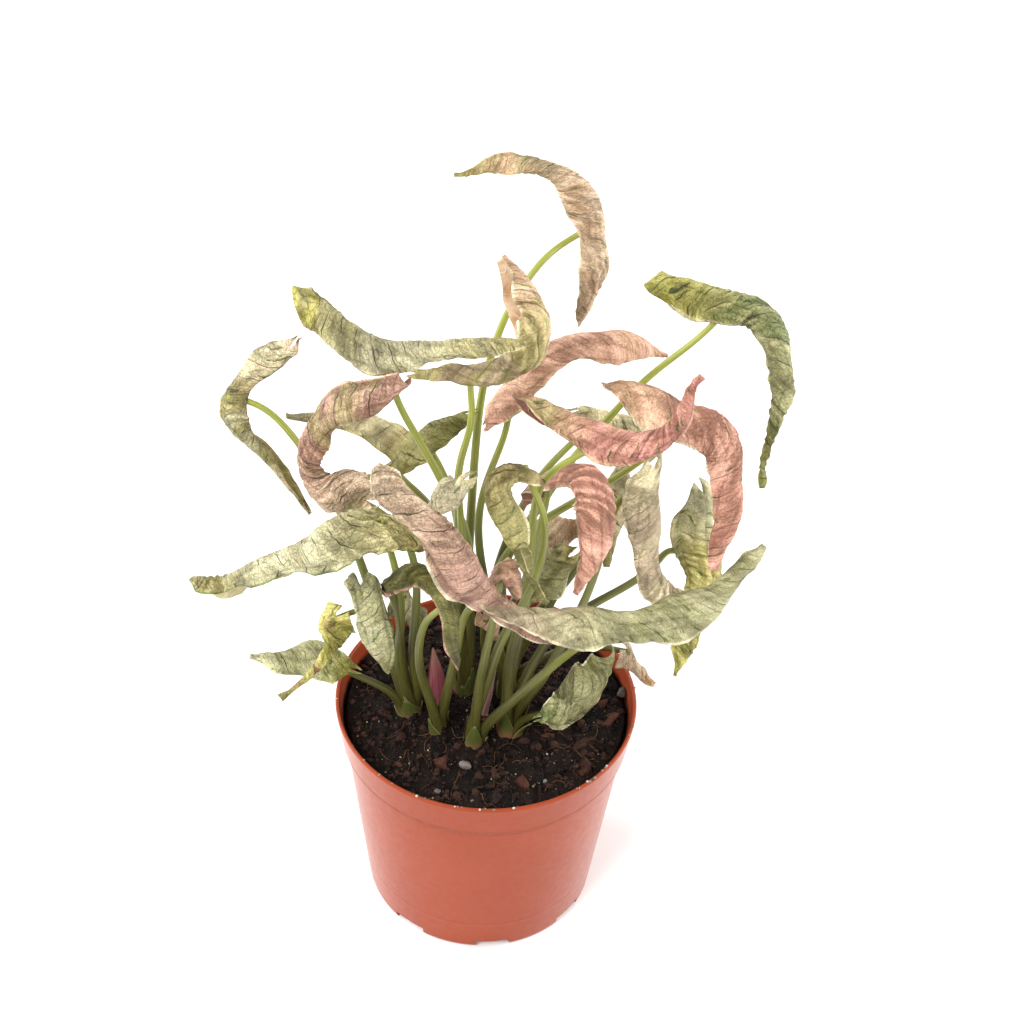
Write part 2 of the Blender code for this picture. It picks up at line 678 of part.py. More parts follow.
def build_soil(parts, slope, holes):
    """The potting soil, lumpy on top, with a plain hole for each stem."""
    low = FLOOR + GAP
    wall = WALL + GAP
    step_low = POT_HEIGHT - COLLAR_DEPTH + wall
    edge = COLLAR_RADIUS - wall - GAP
    profile = []
    for i in range(SOIL_RINGS + 1):
        share = i / SOIL_RINGS
        profile.append((edge * share, SOIL_LEVEL + SOIL_CROWN * (1 - share**2)))
    profile += [
        (COLLAR_RADIUS - wall, step_low + WALL),
        (COLLAR_RADIUS - COLLAR_STEP - wall, step_low),
        (BASE_RADIUS + slope * low - wall, low),
        (0.0, low),
    ]
    soil = turned_mesh("soil", profile, POT_SIDES, parts, principled("Soil", "#2a1f1a", 0.95))
    apply_modifiers(soil)
    for vert in soil.data.vertices:
        if vert.co.z > SOIL_LEVEL - SOIL_UNDERCUT:
            lump = noise.noise(vert.co / SOIL_GRAIN)
            lump += FINER_SHARE * noise.noise(FINER_LUMPS * vert.co / SOIL_GRAIN)
            vert.co.z += SOIL_LUMP * lump
    cutters = new_collection("Soil cutters", hidden=True)
    for i, (place, radius, depth) in enumerate(holes):
        cutter = cylinder(
            f"hole_cutter_{i + 1}", (radius + GAP) / math.cos(math.pi / HOLE_SIDES),
            SOIL_LEVEL - depth - GAP, POT_HEIGHT + HOLE_CLEAR, place, cutters, HOLE_SIDES,
        )
        mark_cutter(cutter)
    cut(soil, cutters)


def tube(name, points, radii, collection, fineness=1):
    """A tapered tube along points, as a closed mesh."""
    curve = bpy.data.curves.new(name, "CURVE")
    curve.dimensions = "3D"
    curve.bevel_depth = 1.0
    curve.bevel_resolution = fineness
    curve.use_fill_caps = True
    spline = curve.splines.new("POLY")
    spline.points.add(len(points) - 1)
    for point, place, radius in zip(spline.points, points, radii):
        point.co = (*place, 1.0)
        point.radius = radius
    guide = bpy.data.objects.new(name, curve)
    collection.objects.link(guide)
    bpy.context.view_layer.update()
    graph = bpy.context.evaluated_depsgraph_get()
    mesh = bpy.data.meshes.new_from_object(guide.evaluated_get(graph))
    matrix = guide.matrix_world.copy()
    bpy.data.objects.remove(guide)
    bpy.data.curves.remove(curve)
    bm = bmesh.new()
    bm.from_mesh(mesh)
    bmesh.ops.remove_doubles(bm, verts=bm.verts, dist=FINE_MERGE)
    bm.to_mesh(mesh)
    bm.free()
    mesh.materials.clear()
    obj = add_object(name, mesh, collection)
    obj.matrix_world = matrix
    return obj


def even_points(line, spacing):
    """Points of a line with its ends, closer together towards the last."""
    reach = [0.0]
    for one, other in zip(line, line[1:]):
        reach.append(reach[-1] + (other - one).length)
    count = round(reach[-1] / spacing)
    count = min(max(count, FEWEST_STALK_POINTS), MOST_STALK_POINTS)
    points = []
    i = 0
    for step in range(count):
        goal = reach[-1] * (1 - (1 - step / (count - 1)) ** STALK_CROWDING)
        while reach[i + 1] < goal and i < len(line) - 2:
            i += 1
        span = max(reach[i + 1] - reach[i], 1e-9)
        points.append(line[i].lerp(line[i + 1], (goal - reach[i]) / span))
    return points


def stalk_feet(name):
    """Each stalk of a shoot with the turn of its foot, in the order that they lean."""
    x, y = SHOOTS[name]
    leans = []
    for leaf in LEAVES:
        if leaf.shoot == name:
            first = seen(*leaf.stalk[0], y / MM)
            wall = Roll(leaf).point(leaf.joint, 0.0)
            leans.append((math.atan2(wall.y - y, first.x - x), leaf))
    leans.sort(key=lambda lean: lean[0])
    step = 2 * math.pi / len(leans)
    return [(leans[0][0] + i * step, leaf) for i, (_, leaf) in enumerate(leans)]


def stalk_line(leaf, turn):
    """The middle of a leaf stalk, from inside its shoot's crown to its blade."""
    x, y = SHOOTS[leaf.shoot]
    roll = Roll(leaf)
    wall = roll.point(leaf.joint, 0.0)
    aside = STALK_SPREAD * Vector((math.cos(turn), math.sin(turn), 0.0))
    low = Vector((x, y, SOIL_LEVEL + STALK_FOOT)) + aside
    stand = low + Vector((0.0, 0.0, STALK_STAND))
    rough = [stand] + [seen(px, py, y / MM) for px, py in leaf.stalk] + [wall]
    spans = [(other - one).length for one, other in zip(rough, rough[1:])]
    points = [low, stand]
    gone = 0.0
    for span, (px, py) in zip(spans, leaf.stalk):
        gone += span
        back = y + (wall.y - y) * gone / sum(spans)
        points.append(seen(px, py, back / MM))
    points += roll.seat(leaf.joint, points[-1])
    return even_points(smooth_line(points), STALK_SPACING)


def build_shoot(name, parts):
    """A crown in the soil and its leaf stalks, fused into one solid."""
    crown = cylinder(
        name, CROWN_RADIUS, SOIL_LEVEL - CROWN_DEPTH, SOIL_LEVEL + CROWN_RISE, SHOOTS[name],
        parts, 12,
    )
    crown.data.materials.append(principled(f"Stalk green {name}", "#83984c", 0.55))
    stalks = new_collection(f"{name} stalks", hidden=True)
    for turn, leaf in stalk_feet(name):
        points = stalk_line(leaf, turn)
        radii = []
        for i in range(len(points)):
            share = i / (len(points) - 1)
            narrowing = (STALK_BASE_RADIUS - STALK_TIP_RADIUS) * share**STALK_TAPER
            radii.append(STALK_BASE_RADIUS - narrowing)
        tube(f"{leaf.name}_stalk", points, radii, stalks)
    join = crown.modifiers.new("Fuse", "BOOLEAN")
    join.operation = "UNION"
    join.operand_type = "COLLECTION"
    join.collection = stalks
    apply_modifiers(crown)
    for obj in list(stalks.objects):
        bpy.data.objects.remove(obj)
    bpy.data.collections.remove(stalks)
    crown.data.shade_smooth()
    crown.data.set_sharp_from_angle(angle=SHARP_ANGLE)


def build_sheath(name, parts):
    """A young leaf, still rolled to a spike, that stands in the soil."""
    (x, y), tip, radius = SHEATHS[name]
    top = seen(*tip)
    foot = Vector((x, y, SOIL_LEVEL - CROWN_DEPTH / 2))
    collar = Vector((x, y, SOIL_LEVEL + YOUNG_COLLAR))
    bend = collar.lerp(top, 0.5) + Vector((0.0, 0.0, YOUNG_BOW))
    points = [foot, collar, collar.lerp(bend, 0.5), bend, bend.lerp(top, YOUNG_NECK), top]
    obj = tube(name, points, [radius * share for share in YOUNG_SHARES], parts, 2)
    obj.data.materials.append(principled(f"Young leaf {name}", "#b0607a", 0.5))
    obj.data.shade_smooth()
    obj.data.set_sharp_from_angle(angle=SHARP_ANGLE)
    return (x, y), radius * YOUNG_SHARES[0]


def build_blade(leaf, parts):
    """A rolled blade: a grid bent to its surface, cut to triangles, then given its thickness."""
    roll = Roll(leaf)
    along = round(roll.length / STATION_SPACING)
    along = min(max(along, FEWEST_STATIONS), MOST_STATIONS)
    across = ACROSS if roll.widest > NARROW else ACROSS_NARROW
    bm = bmesh.new()
    bmesh.ops.create_grid(bm, x_segments=along, y_segments=across, size=1.0)
    for vert in bm.verts:
        side = vert.co.y
        vert.co = roll.point(roll.lobed((vert.co.x + 1) / 2, side), side)
    bmesh.ops.triangulate(bm, faces=bm.faces)
    mesh = bpy.data.meshes.new(leaf.name)
    bm.to_mesh(mesh)
    bm.free()
    obj = add_object(leaf.name, mesh, parts, principled(leaf.name, leaf.colour, 0.6))
    wall = obj.modifiers.new("Thickness", "SOLIDIFY")
    wall.thickness = BLADE_THICKNESS
    wall.offset = -1.0
    mesh.shade_smooth()


def main():
    """Clears the scene and builds every piece."""
    for obj in list(bpy.data.objects):
        bpy.data.objects.remove(obj)
    parts = new_collection("Arrowhead plant")
    slope = build_pot(parts)
    holes = [(place, CROWN_RADIUS, CROWN_DEPTH) for place in SHOOTS.values()]
    for name in SHEATHS:
        place, radius = build_sheath(name, parts)
        holes.append((place, radius, CROWN_DEPTH / 2))
    build_soil(parts, slope, holes)
    for name in SHOOTS:
        build_shoot(name, parts)
    for leaf in LEAVES:
        build_blade(leaf, parts)


main()
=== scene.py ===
"""Looks of an arrowhead plant with curled leaves, in a round nursery pot.

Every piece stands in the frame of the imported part: metres, +Z up, with the
origin at the centre of the pot's base. The blades and stalks follow the same
lines and the same arcs as the part's own solids, with finer creases on them.
"""

import logging
import math
import random
from dataclasses import dataclass, field
from enum import Enum
from functools import cached_property
from typing import Any, Callable, ClassVar, Sequence

import bmesh
import bpy
from mathutils import Matrix, Vector, noise


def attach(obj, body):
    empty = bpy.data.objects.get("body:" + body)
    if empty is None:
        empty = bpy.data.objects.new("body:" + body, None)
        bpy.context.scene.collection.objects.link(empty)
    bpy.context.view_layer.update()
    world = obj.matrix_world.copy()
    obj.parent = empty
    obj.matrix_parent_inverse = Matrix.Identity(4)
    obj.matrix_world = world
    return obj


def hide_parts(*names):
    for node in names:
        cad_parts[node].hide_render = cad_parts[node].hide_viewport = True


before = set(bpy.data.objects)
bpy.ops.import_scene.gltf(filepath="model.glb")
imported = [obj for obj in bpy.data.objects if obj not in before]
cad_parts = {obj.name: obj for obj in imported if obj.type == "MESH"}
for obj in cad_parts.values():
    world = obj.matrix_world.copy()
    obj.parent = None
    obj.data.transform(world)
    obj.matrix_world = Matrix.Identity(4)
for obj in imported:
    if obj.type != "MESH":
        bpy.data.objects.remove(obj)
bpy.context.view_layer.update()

log = logging.getLogger("arrowhead")

MM = 0.001
BODY = "root"

# Sizes that the part's source also has
POT_HEIGHT = 0.100
RIM_RADIUS = 0.060
BASE_RADIUS = 0.0465
COLLAR_DEPTH = 0.017
COLLAR_RADIUS = 0.0576
COLLAR_STEP = 0.0014
WALL = 0.0016
FOOT_RISE = 0.0042
FLOOR = FOOT_RISE + WALL
SOIL_LEVEL = POT_HEIGHT - 0.0075
SOIL_CROWN = 0.0015
SOIL_LUMP = 0.0016
SOIL_GRAIN = 0.011
GAP = 0.0003
STALK_BASE_RADIUS = 0.0026
STALK_TIP_RADIUS = 0.0011
STALK_TAPER = 0.6
STALK_SPREAD = 0.0016
STALK_STAND = 0.010
BLADE_TIP = 0.0020
NARROW = 0.010
END_CURL = 48.0
END_SHARE = 0.20
RIPPLE = 0.09
RIPPLE_LENGTH = 0.040
FEWEST_RIPPLES = 1.5
MARGIN_WAVE = 0.0020

# The leaves' depths are judged, and then spread apart by this much
DEPTH_SPREAD = 1.5

# How far apart the noise of two neighbouring leaves is read
SEED_STEP = 0.37

# How far the side veins lean, as a share of their distance from the midrib
VEIN_SLOPE = 0.70


class Tint(Enum):
    """The colours of the leaves, living and dried."""

    IVORY = "#e6dab8"
    CREAM = "#cabf96"
    PALE = "#bcb690"
    BEIGE = "#b4a186"
    SAND = "#cfb698"
    PEACH = "#e0b996"
    SALMON = "#e9b99f"
    PINK = "#dca68f"
    ROSE = "#cc9181"
    DUSTY = "#b38b78"
    MAUVE = "#936660"
    SAGE = "#a6a276"
    GREY_SAGE = "#938c6d"
    STRAW = "#c5b978"
    LIME = "#aba557"
    LEMON = "#beb666"
    KHAKI = "#a69c66"
    OLIVE = "#858149"
    DARK_OLIVE = "#5b582f"
    GREEN = "#7d8b48"
    MOSS = "#58682d"
    DARK_GREEN = "#3c4522"
    TAN = "#ac845e"
    BROWN = "#7b563b"
    UMBER = "#4c3a29"


class Family(Enum):
    """The colour families of the leaves, each with its underside's two colours."""

    PEACH = (Tint.SAND, Tint.TAN)
    PINK = (Tint.SAND, Tint.DUSTY)
    ROSE = (Tint.MAUVE, Tint.BROWN)
    DUSTY = (Tint.DUSTY, Tint.MAUVE)
    CREAM = (Tint.CREAM, Tint.KHAKI)
    SAGE = (Tint.PALE, Tint.BEIGE)
    OLIVE = (Tint.KHAKI, Tint.OLIVE)
    LIME = (Tint.STRAW, Tint.KHAKI)
    BROWN = (Tint.TAN, Tint.BROWN)


@dataclass(frozen=True)
class Leaf:
    """One rolled leaf, as the photograph shows it.

    line holds (pixel x, pixel y, width in pixels, millimetres back) along the blade,
    where the millimetres are those before DEPTH_SPREAD.
    opens, turned and curl give the roll, joint and stalk the leaf stalk, and twist how
    many degrees the open side winds round from one end to the other.
    """

    name: str
    family: Family
    line: tuple[tuple[float, ...], ...]
    opens: float
    turned: float
    curl: float
    joint: float
    shoot: str
    stalk: tuple[tuple[float, float], ...]
    twist: float = 40.0


SHOOTS: dict[str, tuple[float, float]] = {
    "shoot_left": (-0.030, -0.004),
    "shoot_front_left": (-0.018, -0.014),
    "shoot_front": (-0.004, -0.020),
    "shoot_right": (0.009, -0.013),
    "shoot_middle": (-0.009, 0.008),
    "shoot_back_right": (0.009, 0.006),
}

LEAVES: tuple[Leaf, ...] = (
    Leaf(
        "leaf_top", Family.PEACH,
        ((577, 326, 5, 40), (583, 306, 14, 41), (590, 286, 20, 43), (594, 266, 28, 45),
         (589, 238, 35, 48), (585, 211, 37, 50), (572, 189, 30, 50), (553, 175, 24, 50),
         (530, 166, 20, 50), (499, 165, 16, 49), (470, 173, 8, 47), (454, 175, 3, 46)),
        215, 50, 115, 0.40, "shoot_middle",
        ((473, 480), (477, 430), (482, 385), (490, 358), (504, 315), (524, 283), (543, 258)),
        twist=-110,
    ),
    Leaf(
        "leaf_left_roll", Family.SAGE,
        ((294, 294, 28, 6), (308, 306, 34, 4), (325, 322, 36, 2), (345, 338, 36, -2),
         (366, 350, 32, -5), (390, 354, 28, -8), (415, 354, 27, -11), (440, 352, 25, -14),
         (470, 348, 20, -18), (500, 345, 11, -20), (526, 342, 3, -20)),
        265, 50, 115, 0.42, "shoot_middle",
        ((470, 545), (445, 490), (430, 458), (408, 422), (394, 400)),
        twist=90,
    ),
    Leaf(
        "leaf_upright_turn", Family.PEACH,
        ((405, 374, 8, 2), (440, 374, 15, -1), (480, 371, 26, -4), (508, 366, 28, -4),
         (528, 352, 34, -4), (533, 330, 40, 0), (527, 308, 34, 5), (516, 284, 26, 9),
         (501, 258, 12, 13)),
        165, 45, 108, 0.34, "shoot_middle",
        ((457, 480), (465, 445), (478, 412)),
        twist=120,
    ),
    Leaf(
        "leaf_salmon_arch", Family.PINK,
        ((486, 430, 12, 12), (500, 408, 24, 14), (520, 386, 28, 16), (545, 364, 30, 18),
         (572, 348, 30, 20), (600, 343, 28, 23), (630, 346, 24, 27), (650, 351, 16, 30),
         (668, 356, 5, 32)),
        300, 50, 115, 0.22, "shoot_back_right",
        ((478, 545), (482, 490), (494, 462), (508, 432)),
        twist=90,
    ),
    Leaf(
        "leaf_right_hook", Family.OLIVE,
        ((647, 290, 24, 27), (672, 291, 30, 26), (700, 300, 32, 25), (728, 307, 38, 23),
         (752, 315, 36, 21), (771, 333, 30, 18), (781, 358, 22, 14), (784, 385, 22, 11),
         (778, 412, 18, 7), (770, 440, 12, 5), (763, 466, 7, 3), (763, 488, 3, 2)),
        235, 50, 112, 0.30, "shoot_back_right",
        ((500, 570), (535, 515), (570, 460), (603, 425), (640, 383), (670, 358), (700, 342)),
        twist=110,
    ),
    Leaf(
        "leaf_big_pink", Family.PINK,
        ((601, 385, 8, 5), (620, 391, 22, 5), (650, 406, 38, 5), (680, 420, 44, 5),
         (706, 431, 44, 4), (724, 453, 38, 1), (730, 485, 28, -3), (728, 520, 26, -7),
         (719, 548, 24, -10), (712, 570, 14, -12)),
        230, 45, 108, 0.38, "shoot_back_right",
        ((490, 590), (520, 535), (550, 515), (580, 500), (607, 482), (640, 464)),
        twist=80,
    ),
    Leaf(
        "leaf_magenta_tail", Family.ROSE,
        ((512, 394, 6, -8), (530, 406, 22, -9), (555, 419, 26, -10), (583, 431, 30, -12),
         (612, 443, 30, -14), (640, 447, 28, -16), (663, 440, 28, -17), (679, 424, 22, -17),
         (686, 403, 14, -16), (692, 387, 9, -15), (702, 376, 4, -14)),
        270, 50, 110, 0.46, "shoot_right",
        ((508, 660), (524, 610), (532, 550), (533, 500), (545, 469), (568, 458)),
        twist=130,
    ),
    Leaf(
        "leaf_olive_hook", Family.OLIVE,
        ((538, 479, 10, -20), (526, 474, 18, -23), (510, 475, 26, -26), (501, 488, 34, -28),
         (505, 509, 31, -29), (513, 532, 24, -29), (522, 556, 16, -28), (532, 580, 8, -27),
         (545, 603, 3, -26)),
        300, 40, 105, 0.12, "shoot_front",
        ((491, 672), (500, 640), (533, 588), (546, 540), (546, 505)),
        twist=80,
    ),
    Leaf(
        "leaf_pink_hook", Family.ROSE,
        ((526, 511, 14, 2), (543, 488, 22, -1), (566, 476, 26, -6), (588, 483, 34, -12),
         (599, 505, 36, -16), (598, 530, 34, -18), (592, 555, 28, -19), (583, 576, 18, -18),
         (575, 594, 6, -18)),
        240, 45, 105, 0.26, "shoot_right",
        ((516, 650), (527, 600), (535, 550), (540, 516)),
        twist=70,
    ),
    Leaf(
        "leaf_beige_strip", Family.CREAM,
        ((648, 454, 24, -5), (645, 480, 32, -5), (643, 510, 33, -6), (644, 540, 31, -7),
         (649, 566, 28, -8), (659, 588, 23, -8), (676, 596, 15, -7), (695, 594, 7, -6)),
        180, 40, 90, 0.14, "shoot_right",
        ((514, 710), (538, 688), (560, 648), (590, 590), (612, 515)),
        twist=15,
    ),
    Leaf(
        "leaf_lime_wavy", Family.LIME,
        ((693, 480, 14, 14), (696, 502, 34, 12), (694, 528, 40, 10), (698, 553, 40, 8),
         (702, 578, 36, 4), (697, 605, 30, 0), (688, 632, 24, -3), (682, 655, 15, -5),
         (675, 676, 4, -6)),
        180, 35, 85, 0.42, "shoot_right",
        ((520, 690), (545, 640), (575, 612), (610, 596), (640, 579), (662, 564)),
        twist=60,
    ),
    Leaf(
        "leaf_long_sage", Family.SAGE,
        ((478, 606, 6, -42), (508, 614, 16, -44), (545, 621, 26, -44), (583, 627, 40, -42),
         (620, 629, 40, -40), (652, 622, 38, -37), (687, 611, 36, -33), (715, 594, 32, -29),
         (738, 573, 24, -26), (755, 556, 14, -24), (764, 545, 4, -23)),
        285, 40, 100, 0.40, "shoot_front",
        ((482, 728), (516, 698), (560, 660)),
        twist=75,
    ),
    Leaf(
        "leaf_dusty_band", Family.DUSTY,
        ((376, 466, 8, -28), (389, 484, 30, -33), (413, 511, 37, -38), (438, 539, 40, -40),
         (457, 565, 42, -38), (478, 592, 36, -34), (508, 614, 22, -31), (535, 632, 14, -29),
         (560, 645, 5, -27)),
        250, 35, 100, 0.66, "shoot_front_left",
        ((446, 700), (452, 670), (459, 640), (465, 605)),
        twist=-60,
    ),
    Leaf(
        "leaf_long_pale_left", Family.CREAM,
        ((420, 540, 14, -22), (398, 533, 36, -28), (370, 536, 50, -31), (340, 544, 52, -31),
         (308, 555, 38, -28), (275, 566, 26, -25), (248, 576, 22, -22), (230, 585, 24, -20),
         (212, 586, 20, -18), (194, 579, 6, -16)),
        285, 40, 100, 0.20, "shoot_left",
        ((396, 665), (402, 620), (398, 580)),
        twist=80,
    ),
    Leaf(
        "leaf_pink_sickle", Family.DUSTY,
        ((405, 379, 18, -15), (384, 389, 29, -14), (355, 404, 34, -13), (328, 420, 32, -11),
         (312, 444, 26, -10), (313, 467, 28, -10), (327, 485, 38, -12), (350, 490, 40, -14),
         (372, 498, 24, -17), (382, 503, 8, -18)),
        340, 45, 105, 0.74, "shoot_left",
        ((424, 700), (411, 663), (415, 625), (417, 575), (402, 525)),
        twist=120,
    ),
    Leaf(
        "leaf_far_left", Family.OLIVE,
        ((300, 336, 8, 6), (283, 351, 18, 5), (262, 369, 27, 4), (242, 389, 30, 3),
         (233, 409, 28, 2), (242, 429, 19, 1), (260, 448, 15, 0), (280, 470, 13, -2),
         (297, 492, 10, -3), (310, 514, 3, -4)),
        0, 45, 100, 0.38, "shoot_left",
        ((398, 680), (380, 620), (360, 560), (330, 490), (300, 445), (275, 412)),
        twist=160,
    ),
    Leaf(
        "leaf_yellow_behind", Family.LIME,
        ((286, 415, 5, 18), (310, 418, 12, 19), (335, 421, 18, 20), (362, 424, 24, 22),
         (385, 434, 26, 24), (403, 448, 32, 26), (412, 463, 14, 26)),
        270, 30, 75, 0.78, "shoot_middle",
        ((466, 600), (448, 540), (428, 495)),
    ),
    Leaf(
        "leaf_olive_arm", Family.OLIVE,
        ((368, 477, 6, 12), (392, 468, 14, 12), (415, 452, 24, 13), (440, 434, 28, 14),
         (463, 419, 18, 15), (478, 410, 5, 15)),
        300, 45, 100, 0.55, "shoot_middle",
        ((470, 600), (458, 530), (450, 480)),
    ),
    Leaf(
        "leaf_pale_wedge", Family.SAGE,
        ((478, 473, 7, -14), (462, 486, 24, -14), (446, 498, 30, -13), (430, 510, 12, -12)),
        260, 30, 75, 0.34, "shoot_middle",
        ((472, 640), (466, 570), (460, 520)),
    ),
    Leaf(
        "leaf_hanging_pale", Family.CREAM,
        ((363, 571, 26, -18), (368, 592, 36, -20), (373, 618, 36, -21), (380, 645, 28, -22),
         (384, 664, 8, -21)),
        20, 35, 75, 0.16, "shoot_left",
        ((402, 680), (400, 620), (390, 588)),
    ),
    Leaf(
        "leaf_crumpled_curl", Family.LIME,
        ((347, 609, 18, -12), (338, 625, 30, -13), (334, 645, 24, -16), (318, 666, 10, -19),
         (300, 684, 6, -22), (281, 699, 3, -25)),
        0, 40, 95, 0.14, "shoot_left",
        ((402, 680), (394, 635), (374, 607)),
    ),
    Leaf(
        "leaf_low_left", Family.LIME,
        ((362, 672, 8, -8), (345, 668, 24, -7), (325, 666, 34, -6), (300, 664, 32, -6),
         (275, 660, 20, -6), (250, 656, 5, -6)),
        285, 30, 75, 0.30, "shoot_left",
        ((398, 692), (375, 680)),
    ),
    Leaf(
        "leaf_olive_arch", Family.OLIVE,
        ((386, 592, 10, -28), (400, 578, 18, -30), (420, 574, 22, -31), (438, 590, 24, -33),
         (449, 615, 20, -34), (452, 640, 13, -33), (458, 663, 5, -31)),
        240, 45, 85, 0.48, "shoot_front_left",
        ((431, 702), (417, 660), (424, 622)),
    ),
    Leaf(
        "leaf_small_fan", Family.SAGE,
        ((390, 590, 14, 2), (403, 603, 30, 1), (415, 620, 26, 0), (423, 636, 8, 0)),
        240, 30, 75, 0.20, "shoot_left",
        ((404, 670), (398, 630)),
    ),
    Leaf(
        "leaf_low_right", Family.SAGE,
        ((533, 720, 8, -20), (547, 713, 20, -16), (560, 704, 30, -9), (579, 687, 36, -5),
         (595, 668, 36, -2), (604, 653, 16, -1)),
        160, 30, 65, 0.24, "shoot_right",
        ((524, 712),),
    ),
    Leaf(
        "leaf_over_rim", Family.BROWN,
        ((619, 647, 12, 7), (627, 658, 20, 6), (638, 672, 14, 4), (655, 684, 4, 2)),
        240, 40, 85, 0.20, "shoot_back_right",
        ((505, 680), (542, 656), (585, 642)),
    ),
    Leaf(
        "leaf_brown_middle", Family.BROWN,
        ((516, 566, 12, 20), (532, 552, 30, 21), (552, 538, 36, 22), (572, 527, 26, 23),
         (584, 520, 10, 24)),
        300, 35, 85, 0.30, "shoot_back_right",
        ((496, 640), (510, 600)),
    ),
    Leaf(
        "leaf_olive_middle", Family.OLIVE,
        ((580, 548, 8, 0), (565, 561, 30, -1), (549, 578, 44, -2), (533, 594, 28, -3),
         (522, 605, 8, -3)),
        250, 25, 65, 0.30, "shoot_back_right",
        ((508, 672), (532, 632)),
    ),
    Leaf(
        "leaf_pink_scrap", Family.PINK,
        ((490, 579, 9, -22), (504, 571, 23, -25), (516, 582, 20, -25), (515, 599, 5, -25)),
        260, 25, 62, 0.40, "shoot_front",
        ((478, 690), (490, 635)),
    ),
    Leaf(
        "leaf_green_behind", Family.LIME,
        ((566, 413, 8, 26), (590, 416, 18, 26), (615, 425, 24, 25), (640, 440, 26, 24),
         (655, 458, 10, 22)),
        250, 35, 85, 0.40, "shoot_back_right",
        ((490, 600), (515, 520), (550, 460), (585, 438)),
    ),
    Leaf(
        "leaf_pale_strip", Family.CREAM,
        ((618, 455, 10, 18), (620, 480, 24, 17), (616, 510, 26, 15), (610, 540, 20, 12),
         (606, 567, 6, 9)),
        200, 35, 85, 0.24, "shoot_back_right",
        ((505, 640), (560, 592), (600, 530)),
    ),
    Leaf(
        "leaf_peach_lobe", Family.PEACH,
        ((479, 608, 8, -4), (488, 623, 20, -4), (499, 639, 5, -3)),
        300, 25, 62, 0.30, "shoot_middle",
        ((488, 680), (484, 650)),
    ),
)


@dataclass(frozen=True)
class PhotoView:
    """The camera of the photograph, which the leaves' places were read from."""

    focal: float = 2260.4
    centre: float = 512.0
    distance: float = 0.900
    lift: float = math.radians(41.41)
    roll: float = math.radians(2.81)
    aside: float = 0.01023
    above: float = 0.07336

    @cached_property
    def forward(self) -> Vector:
        """The direction that the camera looks in."""
        return Vector((0.0, math.cos(self.lift), -math.sin(self.lift)))

    @cached_property
    def level_up(self) -> Vector:
        """The picture's up direction before the camera is rolled."""
        return Vector((0.0, math.sin(self.lift), math.cos(self.lift)))

    @cached_property
    def right(self) -> Vector:
        """The direction to the picture's right."""
        return math.cos(self.roll) * Vector((1, 0, 0)) + math.sin(self.roll) * self.level_up

    @cached_property
    def up(self) -> Vector:
        """The direction to the picture's top."""
        return math.cos(self.roll) * self.level_up - math.sin(self.roll) * Vector((1, 0, 0))

    @cached_property
    def eye(self) -> Vector:
        """The camera's place."""
        aim = Vector((0.0, 0.0, POT_HEIGHT))
        return aim - self.distance * self.forward + self.aside * self.right + self.above * self.up

    def ray(self, px: float, py: float) -> Vector:
        """The direction from the camera through a pixel."""
        return (
            self.forward
            + (px - self.centre) / self.focal * self.right
            - (py - self.centre) / self.focal * self.up
        )

    def seen(self, px: float, py: float, back: float) -> Vector:
        """Finds a point from where it shows.

        Args:
            px: pixels from the picture's left edge.
            py: pixels from its top edge.
            back: millimetres that the point lies behind the pot's middle.

        Returns:
            The point, in metres.
        """
        ray = self.ray(px, py)
        return self.eye + ray * ((back * MM - self.eye.y) / ray.y)

    def on_level(self, px: float, py: float, level: float) -> Vector:
        """The point of a level plane that shows at a pixel."""
        ray = self.ray(px, py)
        return self.eye + ray * ((level - self.eye.z) / ray.z)

    def width(self, pixels: float, place: Vector) -> float:
        """The real width of something that looks that wide at a place."""
        return pixels * (place - self.eye).dot(self.forward) / self.focal


VIEW = PhotoView()


def smooth_line(points: Sequence[Vector], steps: int = 16) -> list[Vector]:
    """Draws a smooth curve through points.

    Args:
        points: the points, of any dimension.
        steps: how many short steps each span gets.

    Returns:
        The curve's points, with both ends.
    """
    ends = [2 * points[0] - points[1], *points, 2 * points[-1] - points[-2]]
    line = []
    for p0, p1, p2, p3 in zip(ends, ends[1:], ends[2:], ends[3:]):
        for step in range(steps):
            t = step / steps
            line.append(
                0.5 * (2 * p1 + (p2 - p0) * t + (2 * p0 - 5 * p1 + 4 * p2 - p3) * t**2
                       + (3 * p1 - p0 - 3 * p2 + p3) * t**3)
            )
    line.append(points[-1].copy())
    return line


def even_points(line: Sequence[Vector], count: int) -> list[Vector]:
    """That many points along a line, evenly spaced, with its ends."""
    reach = [0.0]
    for one, other in zip(line, line[1:]):
        reach.append(reach[-1] + (other - one).length)
    points = []
    i = 0
    for step in range(count):
        goal = reach[-1] * step / (count - 1)
        while reach[i + 1] < goal and i < len(line) - 2:
            i += 1
        span = max(reach[i + 1] - reach[i], 1e-9)
        points.append(line[i].lerp(line[i + 1], (goal - reach[i]) / span))
    return points


def line_length(line: Sequence[Vector]) -> float:
    """The length of a line through points."""
    return sum((other - one).length for one, other in zip(line, line[1:]))


def smoothstep(low: float, high: float, value: float) -> float:
    """0 below low, 1 above high, and smooth between them."""
    t = min(max((value - low) / (high - low), 0.0), 1.0)
    return t * t * (3 - 2 * t)


